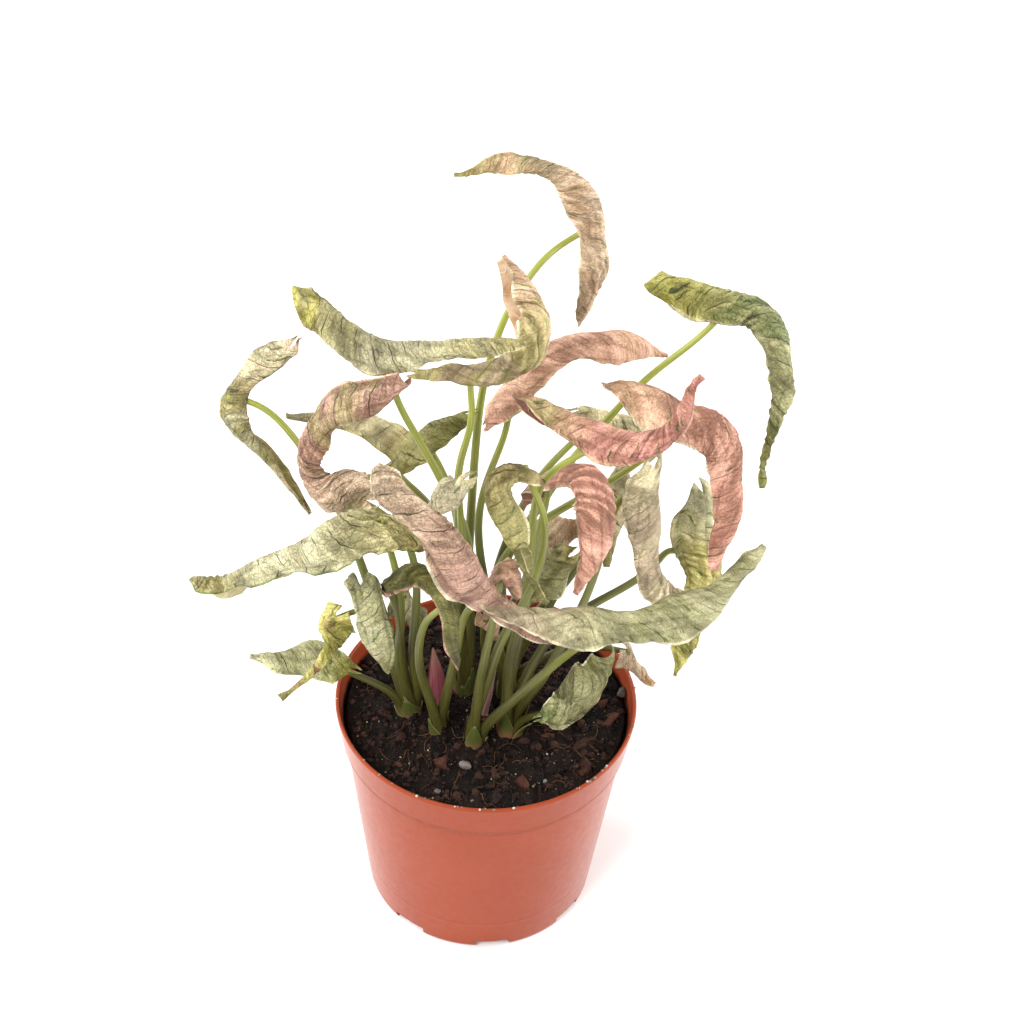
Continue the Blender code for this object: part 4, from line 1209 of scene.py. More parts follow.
@dataclass
class Blade:
    """A rolled leaf blade, with its creases, its lobes and its midrib."""

    leaf: Leaf
    skin: LeafSkin
    seed: float
    cell: float = 0.0009
    across: int = 36
    thickness: float = 0.0009
    margin_share: float = 0.45
    notch: float = 0.0055
    notch_half: float = 0.45
    corner: float = 0.010
    spiral: float = 0.16
    quilt: float = 0.00014
    crumple: float = 0.00055
    pucker: float = 0.00022
    bend_pucker: float = 0.00070
    frill: float = 0.00045
    gnarl: float = 0.0016
    rib_aside: float = 0.80
    rib_side: int = 1
    undersides: dict[Family, bpy.types.Material] = field(default_factory=dict)

    @cached_property
    def roll(self) -> Roll:
        """The arcs that the blade is bent to."""
        return Roll(self.leaf)

    @property
    def rib(self) -> float:
        """Where the midrib shows: the blade has rolled unevenly, further to one side."""
        return self.rib_aside * self.rib_side

    def lobed(self, share: float, side: float) -> float:
        """Moves a row of the grid, so that the blade ends in two rounded lobes.

        Args:
            share: the row's share of the way along.
            side: how far across the point is, from -1 to 1.

        Returns:
            The share that the point moves to.
        """
        joint, length = self.leaf.joint, self.roll.length
        room = 0.7 * min(joint, 1 - joint)
        notch = min(self.notch / length, room) * max(0.0, 1 - abs(side) / self.notch_half)
        round_off = min(self.corner / length, room) * max(0.0, (abs(side) - 0.45) / 0.55) ** 2
        moved = notch + round_off
        if joint < 0.5:
            return share + moved * max(0.0, 1 - share / joint)
        return share - moved * max(0.0, 1 - (1 - share) / (1 - joint))

    def relief(self, share: float, side: float, grown: tuple[float, float]) -> float:
        """The height of the creases, quilting and frills at a point.

        Args:
            share: how far along the blade the point is.
            side: how far across it is, from -1 to 1.
            grown: the distance from the midrib and along it, in metres.

        Returns:
            How far the point stands out, in metres.
        """
        out, along = grown
        size = min(1.0, self.roll.widest / NARROW) * smoothstep(0.0, 0.02, min(share, 1 - share))
        lobed_end = share if self.leaf.joint < 0.5 else 1 - share
        gnarled = 1 - smoothstep(4 * MM, 18 * MM, lobed_end * self.roll.length)
        spot = Vector((out, along, self.seed))
        warp = 3 * MM * noise.noise(Vector((out, along, self.seed)) / (14 * MM))
        rhythm = along - VEIN_SLOPE * abs(out) + warp
        spacing = self.skin.vein_spacing * MM
        wave = math.cos(math.pi * rhythm / spacing)
        height = self.quilt * (0.8 - 1.4 * abs(wave) ** 5)
        height += self.crumple * noise.fractal(spot / (11 * MM), 1.0, 2.1, 3)
        mask = smoothstep(-0.1, 0.35, noise.noise(spot / (21 * MM)))
        pucker = mask * self.pucker + self.roll.bending(share) * self.bend_pucker
        unrest = 2.2 * noise.noise(Vector((out / (13 * MM), along / (7 * MM), self.seed)))
        ridges = 1 - abs(math.sin(math.pi * rhythm / (3.9 * MM) + unrest))
        height += pucker * (ridges**1.5 - 0.5)
        height += gnarled * self.gnarl * noise.fractal(spot / (8 * MM), 1.0, 2.1, 2)
        fold = noise.noise(Vector((out / (4.2 * MM), along / (34 * MM), self.seed)))
        height -= 0.7 * self.crumple * max(0.0, 1 - abs(fold) / 0.16)
        height -= 0.00012 * math.exp(-((out / (0.8 * MM)) ** 2))
        turn = 2 * math.pi * along / (17 * MM) + 5 * noise.noise(spot / (15 * MM))
        height += self.frill * abs(side) ** 5 * math.sin(turn)
        return height * size

    def point(self, u: float, v: float) -> tuple[Vector, tuple[float, float], float]:
        """A point of the blade's upper face, its grown coordinates and its relief."""
        side = 2 * v - 1
        share = self.lobed(u, side)
        _, _, _, radius, half = self.roll.section(share)
        grown = (half * (side - self.rib) * radius, share * self.roll.length)
        hem = -self.spiral * radius * side**3 * min(1.0, half)
        height = self.relief(share, side, grown)
        place = self.roll.wall(share, side, hem + height)
        return place, (grown[0] / (100 * MM), grown[1] / (100 * MM)), height / MM

    def build(self) -> bpy.types.Object:
        """Builds and dresses the blade."""
        bm = bmesh.new()
        rows = max(24, round(self.roll.length / self.cell))
        across = self.across if self.roll.widest > NARROW else self.across // 2
        lay_grid(bm, rows, across, self.point)
        group = bm.verts.layers.deform.new()
        spot = bm.loops.layers.uv.get("Place")
        for face in bm.faces:
            for loop in face.loops:
                u, v = loop[spot].uv
                middle = math.exp(-(((2 * v - 1) / 0.10) ** 2)) * (1 - 0.7 * u)
                loop.vert[group][0] = self.margin_share + (1 - self.margin_share) * middle
        name = self.leaf.name.replace("leaf_", "blade_")
        upper = self.skin.material(f"Leaf skin {name}", self.seed)
        under = self.undersides[self.leaf.family]
        node = self.leaf.name
        piece = finish_piece(name, bm, (upper, under), (node,))
        piece.vertex_groups.new(name="Thick")
        wall = piece.modifiers.new("Thickness", "SOLIDIFY")
        wall.thickness = self.thickness
        wall.offset = -1.0
        wall.vertex_group = "Thick"
        wall.material_offset = 1
        return piece


@dataclass
class Shoot:
    """A crown in the soil, with its leaf stalks and the sheaths round their feet."""

    name: str
    skin: bpy.types.Material
    sheath: bpy.types.Material
    spacing: float = 0.0020
    sides: int = 14
    foot_swell: float = 0.0006
    swell_height: float = 0.012
    bury: float = 0.004
    relaxing: int = 60

    def feet(self) -> list[tuple[float, Leaf]]:
        """Each stalk's leaf, with the turn of its foot, in the order that they lean."""
        x, y = SHOOTS[self.name]
        leans = []
        for leaf in LEAVES:
            if leaf.shoot == self.name:
                first = VIEW.seen(*leaf.stalk[0], y / MM)
                wall = Roll(leaf).wall(leaf.joint, 0.0)
                leans.append((math.atan2(wall.y - y, first.x - x), leaf))
        leans.sort(key=lambda lean: lean[0])
        step = 2 * math.pi / len(leans)
        return [(leans[0][0] + i * step, leaf) for i, (_, leaf) in enumerate(leans)]

    def stalk_line(self, leaf: Leaf, turn: float) -> list[Vector]:
        """The middle of a leaf stalk, from the soil to the midrib of its blade."""
        x, y = SHOOTS[self.name]
        roll = Roll(leaf)
        wall = roll.wall(leaf.joint, 0.0)
        aside = STALK_SPREAD * Vector((math.cos(turn), math.sin(turn), 0.0))
        low = Vector((x, y, SOIL_LEVEL - self.bury)) + aside
        stand = low + Vector((0.0, 0.0, STALK_STAND + self.bury))
        rough = [stand] + [VIEW.seen(px, py, y / MM) for px, py in leaf.stalk] + [wall]
        spans = [(other - one).length for one, other in zip(rough, rough[1:])]
        points = [low, stand]
        gone = 0.0
        for span, (px, py) in zip(spans, leaf.stalk):
            gone += span
            back = y + (wall.y - y) * gone / sum(spans)
            points.append(VIEW.seen(px, py, back / MM))
        points += roll.way_in(points[-1])
        line = smooth_line(points)
        points = even_points(line, max(12, round(line_length(line) / self.spacing)))
        for _ in range(self.relaxing):
            middle = [(a + 2 * b + c) / 4 for a, b, c in zip(points, points[1:], points[2:])]
            points = [points[0], *middle, points[-1]]
        return points

    def radius(self, share: float, length: float) -> float:
        """The stalk's radius, a share of the way along."""
        narrowing = (STALK_BASE_RADIUS - STALK_TIP_RADIUS) * share**STALK_TAPER
        swell = self.foot_swell * math.exp(-((share * length / self.swell_height) ** 2))
        return STALK_BASE_RADIUS - narrowing + swell

    def add_sheath(self, bm: bmesh.types.BMesh, points: Sequence[Vector], luck: random.Random) -> None:
        """Adds a stalk's sheath, the winged foot that wraps the younger stalks.

        Args:
            bm: the mesh that it is added to.
            points: the stalk's middle line.
            luck: gives it its own size.
        """
        x, y = SHOOTS[self.name]
        rows = min(len(points) - 2, round(luck.uniform(0.011, 0.024) / self.spacing))
        full = self.radius(0.0, 1.0)
        wrap = math.radians(luck.uniform(75, 110))
        skew = luck.uniform(-0.5, 0.5)
        wave = luck.uniform(0, 6)

        def place(u: float, v: float) -> tuple[Vector, tuple[float, float], float]:
            """A point of the sheath, u up it and v round it."""
            i = round(u * rows)
            tangent = (points[i + 1] - points[i]).normalized()
            outwards = Vector((points[i].x - x, points[i].y - y, 0.0))
            outwards = (outwards - outwards.dot(tangent) * tangent).normalized()
            other = tangent.cross(outwards)
            side = 2 * v - 1
            angle = side * wrap * (1 - 0.92 * u**1.5) + skew * u
            wing = 1 + (0.06 + 0.06 * math.sin(5 * u + wave)) * side**2 * (1 - u)
            radius = full * (1.08 - 0.30 * u) * wing
            way = radius * (math.cos(angle) * outwards + math.sin(angle) * other)
            return points[i] + way, (v, u * rows * self.spacing / (100 * MM)), 0.0

        lay_grid(bm, rows, 16, place, material=1)

    def build(self) -> bpy.types.Object:
        """Builds and dresses the shoot."""
        bm = bmesh.new()
        wings = bmesh.new()
        luck = random.Random(self.name)
        for turn, leaf in self.feet():
            points = self.stalk_line(leaf, turn)
            length = line_length(points)
            lay_tube(bm, points, lambda share: self.radius(share, length), self.sides, groove=0.16)
            self.add_sheath(wings, points, luck)
        bmesh.ops.solidify(wings, geom=list(wings.faces), thickness=0.0004)
        mesh = bpy.data.meshes.new("wings")
        wings.to_mesh(mesh)
        wings.free()
        bm.from_mesh(mesh)
        name = self.name.replace("shoot_", "stalks_")
        return finish_piece(name, bm, (self.skin, self.sheath), (self.name,))


@dataclass
class YoungLeaf:
    """A young leaf, still furled round itself to a spike."""

    node: str
    foot: tuple[float, float]
    tip: tuple[float, float, float]
    radius: float
    skin: bpy.types.Material
    turns: float = 1.35
    thickness: float = 0.0004

    def build(self) -> bpy.types.Object:
        """Builds and dresses the young leaf."""
        x, y = self.foot
        top = VIEW.seen(*self.tip)
        foot = Vector((x, y, SOIL_LEVEL - 0.004))
        collar = Vector((x, y, SOIL_LEVEL + 0.006))
        bend = collar.lerp(top, 0.5) + Vector((0.0, 0.0, 0.002))
        middle = smooth_line([foot, collar, collar.lerp(bend, 0.5), bend, bend.lerp(top, 0.6), top])
        rows = 46
        points = even_points(middle, rows + 1)
        length = line_length(points)

        def place(u: float, v: float) -> tuple[Vector, tuple[float, float], float]:
            """A point of the furled blade, u up it and v round it."""
            i = round(u * rows)
            tangent = (points[min(i + 1, rows)] - points[max(i - 1, 0)]).normalized()
            one = tangent.orthogonal().normalized()
            other = tangent.cross(one)
            angle = 2 * math.pi * self.turns * v + 0.5 * u
            body = 0.78 + 0.22 * math.sin(math.pi * min(1.0, u * 1.15))
            radius = self.radius * body * (1 - u**3 * 0.9) * (0.80 + 0.20 * v)
            way = radius * (math.cos(angle) * one + math.sin(angle) * other)
            return points[i] + way, (v, u * length / (100 * MM)), 0.0

        bm = bmesh.new()
        lay_grid(bm, rows, 40, place)
        bmesh.ops.solidify(bm, geom=list(bm.faces), thickness=self.thickness)
        name = self.node.replace("young_leaf_", "furled_leaf_")
        return finish_piece(name, bm, (self.skin,), (self.node,))


@dataclass
class NurseryPot:
    """The moulded pot, with its lip, collar, notched foot and drain holes."""

    steps: int = 144
    lip: float = 0.0005
    notches: int = 8
    notch_width: float = 0.014
    notch_height: float = 0.0039
    notch_turn: float = math.radians(9)
    foot_inner: float = 0.038
    hub_radius: float = 0.020
    drain_ring: float = 0.029
    drain_radius: float = 0.0030
    drains: int = 8
    hold: float = 0.0006

    def profile(self) -> list[tuple[float, float]]:
        """The wall's outline, as (radius, height), from the inner floor round to the base."""
        slope = (COLLAR_RADIUS - COLLAR_STEP - BASE_RADIUS) / (POT_HEIGHT - COLLAR_DEPTH)
        low = POT_HEIGHT - COLLAR_DEPTH
        body = COLLAR_RADIUS - COLLAR_STEP
        lip_middle = Vector((RIM_RADIUS - WALL / 2, POT_HEIGHT - WALL / 2))
        points = [
            (0.0, WALL),
            (self.hub_radius - WALL, WALL),
            (self.hub_radius, FLOOR),
            (BASE_RADIUS + slope * FLOOR - WALL - 0.0008, FLOOR),
            (BASE_RADIUS + slope * FLOOR - WALL, FLOOR + 0.0008),
            (body - WALL, low + WALL),
            (COLLAR_RADIUS - WALL, low + 2 * WALL),
        ]
        for i in range(9):
            angle = math.pi - math.pi * i / 8
            points.append((
                lip_middle.x + WALL / 2 * math.cos(angle), lip_middle.y + WALL / 2 * math.sin(angle),
            ))
        points += [
            (COLLAR_RADIUS + 0.0002, low + 0.0012),
            (COLLAR_RADIUS, low + 0.0004),
            (COLLAR_RADIUS - 0.0002, low + 0.0001),
            (COLLAR_RADIUS - 0.0009, low - 0.0001),
            (body + 0.0001, low - 0.0004),
            (body - 0.00005, low - 0.0012),
        ]
        for height in (0.0172, 0.0168, 0.0160, 0.0156):
            raised = 0.00003 if 0.0158 < height < 0.0170 else 0.0
            points.append((BASE_RADIUS + slope * height + raised, height))
        points += [
            (BASE_RADIUS + slope * 0.0016, 0.0016),
            (BASE_RADIUS - 0.0001, 0.0008),
            (BASE_RADIUS - 0.0006, 0.0002),
            (BASE_RADIUS - 0.0012, 0.0),
            (self.foot_inner, 0.0),
            (self.foot_inner - 0.0004, FOOT_RISE),
            (self.hub_radius + 0.0004, FOOT_RISE),
            (self.hub_radius, 0.0),
            (0.0, 0.0),
        ]
        return self.held(points)

    def held(self, points: Sequence[tuple[float, float]]) -> list[tuple[float, float]]:
        """Adds a point near each end of the long stretches, so that their shading stays flat."""
        kept = [points[0]]
        for one, other in zip(map(Vector, points), map(Vector, points[1:])):
            span = (other - one).length
            if span > 6 * self.hold:
                kept += [tuple(one.lerp(other, self.hold / span)), tuple(other.lerp(one, self.hold / span))]
            kept.append(tuple(other))
        return kept

    def cutters(self) -> bpy.types.Object:
        """The notches and drain holes, as one helper that cuts them."""
        bm = bmesh.new()
        width = BASE_RADIUS - self.foot_inner + 0.01
        size = Matrix.Diagonal((width, self.notch_width, 2 * self.notch_height, 1.0))
        middle = Matrix.Translation(((BASE_RADIUS + self.foot_inner) / 2, 0.0, 0.0))
        for i in range(self.notches):
            turn = Matrix.Rotation(2 * math.pi * i / self.notches - math.pi / 2 + self.notch_turn, 4, "Z")
            bmesh.ops.create_cube(bm, size=1.0, matrix=turn @ middle @ size)
        for i in range(self.drains):
            turn = Matrix.Rotation(2 * math.pi * i / self.drains, 4, "Z")
            out = Matrix.Translation((self.drain_ring, 0.0, FLOOR))
            bmesh.ops.create_cone(
                bm, cap_ends=True, segments=32, radius1=self.drain_radius, radius2=self.drain_radius,
                depth=3 * FLOOR, matrix=turn @ out,
            )
        mesh = bpy.data.meshes.new("pot_cutters")
        bm.to_mesh(mesh)
        bm.free()
        return bpy.data.objects.new("pot_cutters", mesh)

    def build(self) -> bpy.types.Object:
        """Builds and dresses the pot."""
        bm = bmesh.new()
        verts = [bm.verts.new((radius, 0.0, height)) for radius, height in self.profile()]
        edges = [bm.edges.new(pair) for pair in zip(verts, verts[1:])]
        bmesh.ops.spin(
            bm, geom=verts + edges, cent=(0, 0, 0), axis=(0, 0, 1), angle=2 * math.pi,
            steps=self.steps, use_merge=True,
        )
        bmesh.ops.remove_doubles(bm, verts=bm.verts, dist=1e-6)
        bmesh.ops.recalc_face_normals(bm, faces=bm.faces)
        pot = finish_piece("nursery_pot", bm, (PotPlastic().material(),), ("pot",))
        cutters = self.cutters()
        bpy.context.scene.collection.objects.link(cutters)
        cut = pot.modifiers.new("Cuts", "BOOLEAN")
        cut.object = cutters
        graph = bpy.context.evaluated_depsgraph_get()
        mesh = bpy.data.meshes.new_from_object(pot.evaluated_get(graph))
        pot.modifiers.clear()
        pot.data = mesh
        bpy.data.objects.remove(cutters)
        mesh.shade_smooth()
        mesh.set_sharp_from_angle(angle=math.radians(38))
        return pot


def small_shape(make: Callable[[bmesh.types.BMesh], Any]) -> bpy.types.Mesh:
    """Makes a small mesh that is copied many times.

    Args:
        make: adds the shape to an empty mesh.

    Returns:
        The mesh.
    """
    bm = bmesh.new()
    make(bm)
    mesh = bpy.data.meshes.new("small_shape")
    bm.to_mesh(mesh)
    bm.free()
    return mesh


def stamp(bm: bmesh.types.BMesh, shape: bpy.types.Mesh, place: Matrix) -> list[bmesh.types.BMVert]:
    """Adds a copy of a small mesh.

    Args:
        bm: the mesh that it is added to.
        shape: the small mesh.
        place: where the copy stands, and how large it is.

    Returns:
        The copy's vertices.
    """
    first = len(bm.verts)
    bm.from_mesh(shape)
    bm.verts.ensure_lookup_table()
    copied = bm.verts[first:]
    for vert in copied:
        vert.co = place @ vert.co
    return copied


@dataclass
class PottingSoil:
    """The soil: a crumbly surface, with loose peat, bark, stones and roots on it."""

    # Pixels of the photograph, with each chip's size in millimetres
    LARGE_CHIPS: ClassVar[tuple[tuple[float, float, float], ...]] = (
        (583, 745, 11.0), (522, 783, 8.0), (442, 762, 7.0), (610, 722, 8.5), (600, 705, 6.5),
        (548, 737, 6.0), (585, 768, 9.0), (628, 690, 6.0), (497, 795, 6.5), (400, 740, 5.0),
        (556, 726, 4.5), (470, 745, 4.5), (385, 715, 5.0), (540, 790, 6.0),
    )
    # Pixels of the photograph, with each stone's radius in millimetres and its tone
    STONES: ClassVar[tuple[tuple[float, float, float, float], ...]] = (
        (465, 769, 2.2, 0.5), (622, 693, 2.2, 0.2), (437, 792, 1.2, 0.2), (545, 782, 0.9, 0.6),
    )
    # Blender takes the clock as the seed of its noise vectors unless it is given another.
    # This one is the second in which the chips got the shapes that they keep.
    CHIP_SHAPES: ClassVar[int] = 1795600786

    seed: int = 11
    rings: int = 70
    steps: int = 220
    crumbs: int = 1500
    chips: int = 90
    specks: int = 420
    roots: int = 110
    crumbs_on_lip: int = 46
    mound: float = 0.0022
    edge: float = COLLAR_RADIUS - WALL - 2 * GAP

    def height(self, x: float, y: float) -> float:
        """The height of the soil at a place."""
        share = min(1.0, math.hypot(x, y) / self.edge)
        level = SOIL_LEVEL + SOIL_CROWN * (1 - share**2)
        spot = Vector((x, y, level))
        level += SOIL_LUMP * (
            noise.noise(spot / SOIL_GRAIN) + 0.6 * noise.noise(2.3 * spot / SOIL_GRAIN)
        )
        near = min((math.hypot(x - crown_x, y - crown_y) for crown_x, crown_y in SHOOTS.values()))
        level += self.mound * math.exp(-((near / (9 * MM)) ** 2))
        level += 0.0011 * noise.fractal(spot / (4 * MM), 0.9, 2.2, 3)
        level += 0.0005 * abs(noise.noise(spot / (1.3 * MM)))
        return level

    def surface(self) -> bpy.types.Object:
        """Builds the body of the soil, which fills the pot."""
        slope = (COLLAR_RADIUS - COLLAR_STEP - BASE_RADIUS) / (POT_HEIGHT - COLLAR_DEPTH)
        low = FLOOR + GAP
        wall = WALL + GAP
        step_low = POT_HEIGHT - COLLAR_DEPTH + wall
        profile = [(self.edge * i / self.rings, SOIL_LEVEL) for i in range(self.rings + 1)]
        profile += [
            (COLLAR_RADIUS - wall, step_low + WALL),
            (COLLAR_RADIUS - COLLAR_STEP - wall, step_low),
            (BASE_RADIUS + slope * low - wall, low),
            (0.0, low),
        ]
        bm = bmesh.new()
        verts = [bm.verts.new((radius, 0.0, height)) for radius, height in profile]
        edges = [bm.edges.new(pair) for pair in zip(verts, verts[1:])]
        bmesh.ops.spin(
            bm, geom=verts + edges, cent=(0, 0, 0), axis=(0, 0, 1), angle=2 * math.pi,
            steps=self.steps, use_merge=True,
        )
        bmesh.ops.remove_doubles(bm, verts=bm.verts, dist=1e-6)
        bmesh.ops.recalc_face_normals(bm, faces=bm.faces)
        tone = bm.verts.layers.float.new("tone")
        for vert in bm.verts:
            vert[tone] = 0.25
            if vert.co.z > SOIL_LEVEL - MM:
                vert.co.z = self.height(vert.co.x, vert.co.y)
                vert[tone] += 0.5 * noise.noise(vert.co / (5 * MM))
        peat = Loose("Moist peat", "#070403", "#20140e", "#6a4c36", 0.0014, 0.90, 0.35)
        return finish_piece("soil_body", bm, (peat.material(),), ("soil",))

    def spot(self, luck: random.Random) -> Vector:
        """A random place on the soil."""
        reach = (self.edge - 0.0015) * math.sqrt(luck.random())
        turn = luck.uniform(0, 2 * math.pi)
        x, y = reach * math.cos(turn), reach * math.sin(turn)
        return Vector((x, y, self.height(x, y)))

    @staticmethod
    def turned(luck: random.Random) -> Matrix:
        """A random rotation."""
        axis = Vector((luck.uniform(-1, 1), luck.uniform(-1, 1), luck.uniform(-1, 1)))
        return Matrix.Rotation(luck.uniform(0, math.pi), 4, axis.normalized())

    def grains(
        self, name: str, count: int, sizes: tuple[float, float], finish: Loose, finer: int = 1
    ) -> bpy.types.Object:
        """Scatters grains over the soil.

        Args:
            name: the piece's name.
            count: how many grains there are.
            sizes: the smallest and largest radius.
            finish: their finish.
            finer: how often each grain's faces are divided.

        Returns:
            The piece that holds them all.
        """
        luck = random.Random(f"{name} {self.seed}")
        ball = small_shape(lambda new: bmesh.ops.create_icosphere(new, subdivisions=finer, radius=1.0))
        bm = bmesh.new()
        tone = bm.verts.layers.float.new("tone")
        for _ in range(count):
            size = sizes[0] + (sizes[1] - sizes[0]) * luck.random() ** 3
            squash = Matrix.Diagonal((
                luck.uniform(0.7, 1.5), luck.uniform(0.7, 1.1), luck.uniform(0.6, 1), 1,
            ))
            spot = self.spot(luck) + Vector((0.0, 0.0, size * luck.uniform(0.0, 0.5)))
            place = Matrix.Translation(spot) @ self.turned(luck) @ squash
            verts = stamp(bm, ball, place @ Matrix.Scale(size, 4))
            shade = luck.uniform(-0.1, 0.9) ** 2 if luck.random() < 0.8 else 0.9
            for vert in verts:
                vert[tone] = shade
                vert.co += (vert.co - spot) * 0.85 * noise.noise(vert.co / (0.55 * size))
        return finish_piece(name, bm, (finish.material(),), ())

    def bark(self) -> bpy.types.Object:
        """Scatters chips of bark, with the larger ones where the photograph has them."""
        luck = random.Random(self.seed + 3)
        noise.seed_set(self.CHIP_SHAPES)
        block = small_shape(lambda new: bmesh.ops.create_icosphere(new, subdivisions=3, radius=0.55))
        bm = bmesh.new()
        tone = bm.verts.layers.float.new("tone")
        places = []
        for px, py, size in self.LARGE_CHIPS:
            spot = VIEW.on_level(px, py, SOIL_LEVEL + 0.001)
            places.append((Vector((spot.x, spot.y, self.height(spot.x, spot.y))), size * MM))
        for _ in range(self.chips):
            places.append((self.spot(luck), luck.uniform(1.5, 4.5) * MM))
        for spot, size in places:
            slim = luck.uniform(0.35, 0.7)
            shape = Matrix.Diagonal((size, slim * size, 0.4 * size, 1.0))
            lean = Matrix.Rotation(luck.uniform(-0.5, 0.5), 4, "Y")
            lean = lean @ Matrix.Rotation(luck.uniform(-0.5, 0.5), 4, "X")
            turn = Matrix.Rotation(luck.uniform(0, 2 * math.pi), 4, "Z")
            verts = stamp(bm, block, Matrix.Translation(spot) @ turn @ lean @ shape)
            shade = luck.uniform(0.0, 0.8)
            for vert in verts:
                vert[tone] = shade
                vert.co += 0.42 * slim * size * noise.noise_vector(vert.co / (0.42 * size))
                vert.co += 0.12 * slim * size * noise.noise_vector(vert.co / (0.13 * size))
                vert.co.z += 0.0004
        finish = Loose("Pine bark", "#0f0806", "#48291d", "#8a6248", 0.0011, 0.70, 0.35)
        return finish_piece("bark_chips", bm, (finish.material(),), ())

    def stones(self) -> bpy.types.Object:
        """The few pale stones that lie on the soil."""
        luck = random.Random(self.seed + 5)
        bm = bmesh.new()
        tone = bm.verts.layers.float.new("tone")
        for px, py, size, shade in self.STONES:
            spot = VIEW.on_level(px, py, SOIL_LEVEL + 0.001)
            spot.z = self.height(spot.x, spot.y) + 0.4 * size * MM
            squash = Matrix.Diagonal((1.2, 0.9, 0.8, 1.0))
            place = Matrix.Translation(spot) @ self.turned(luck) @ squash
            verts = bmesh.ops.create_icosphere(bm, subdivisions=3, radius=size * MM, matrix=place)["verts"]
            for vert in verts:
                vert[tone] = shade
                vert.co += (vert.co - spot) * 0.35 * noise.noise(vert.co / (0.9 * size * MM))
        finish = Loose("Grit", "#453c38", "#827a73", "#a8a29a", 0.0008, 0.6, 0.5)
        return finish_piece("grit_stones", bm, (finish.material(),), ())

    def lip_crumbs(self) -> bpy.types.Object:
        """Leaves a few crumbs of soil and perlite on top of the pot's lip."""
        luck = random.Random(self.seed + 13)
        ball = small_shape(lambda new: bmesh.ops.create_icosphere(new, subdivisions=2, radius=1.0))
        bm = bmesh.new()
        tone = bm.verts.layers.float.new("tone")
        for _ in range(self.crumbs_on_lip):
            turn = luck.gauss(-math.pi / 2, 1.0)
            size = luck.uniform(0.00018, 0.00055)
            reach = RIM_RADIUS - WALL * luck.uniform(0.3, 0.7)
            spot = Vector((reach * math.cos(turn), reach * math.sin(turn), POT_HEIGHT - 0.2 * size))
            verts = stamp(bm, ball, Matrix.Translation(spot) @ self.turned(luck) @ Matrix.Scale(size, 4))
            shade = luck.choice((0.1, 0.3, 0.9))
            for vert in verts:
                vert[tone] = shade
                vert.co += (vert.co - spot) * 0.6 * noise.noise(vert.co / (0.55 * size))
        finish = Loose("Lip crumbs", "#2a1c14", "#c9bfa8", "#e8e2d4", 0.0005, 0.8, 0.2)
        return finish_piece("lip_crumbs", bm, (finish.material(),), ())

    def root_hairs(self) -> bpy.types.Object:
        """Lays fine loose roots over the soil."""
        luck = random.Random(self.seed + 9)
        bm = bmesh.new()
        for _ in range(self.roots):
            spot = self.spot(luck)
            turn = luck.uniform(0, 2 * math.pi)
            reach = luck.uniform(0.006, 0.018)
            rough = []
            for i in range(6):
                turn += luck.uniform(-0.7, 0.7)
                x, y = spot.x, spot.y
                if math.hypot(x, y) > self.edge - 0.002:
                    break
                lift = 0.0006 * (1 + math.sin(2.2 * i + turn))
                rough.append(Vector((x, y, self.height(x, y) + lift)))
                spot = spot + reach / 5 * Vector((math.cos(turn), math.sin(turn), 0.0))
            if len(rough) < 3:
                continue
            points = even_points(smooth_line(rough, 6), 18)
            thick = luck.uniform(0.00012, 0.00024)
            lay_tube(bm, points, lambda share: thick * (1 - 0.6 * share), 6)
        finish = Loose("Fine roots", "#50341f", "#b08a5c", "#c8a878", 0.0010, 0.7, 0.2)
        return finish_piece("fine_roots", bm, (finish.material(),), ())

    def build(self) -> None:
        """Builds and dresses the soil and all that lies on it."""
        self.surface()
        peat = Loose("Peat crumbs", "#080403", "#35211a", "#a07e60", 0.0009, 0.80, 0.35)
        self.grains("peat_crumbs", self.crumbs, (0.0004, 0.0019), peat, 2)
        perlite = Loose("Perlite", "#5e5240", "#b3a98f", "#dcd4c0", 0.0005, 0.7, 0.2)
        self.grains("perlite_specks", self.specks, (0.00014, 0.00060), perlite, 1)
        self.bark()
        self.stones()
        self.lip_crumbs()
        self.root_hairs()


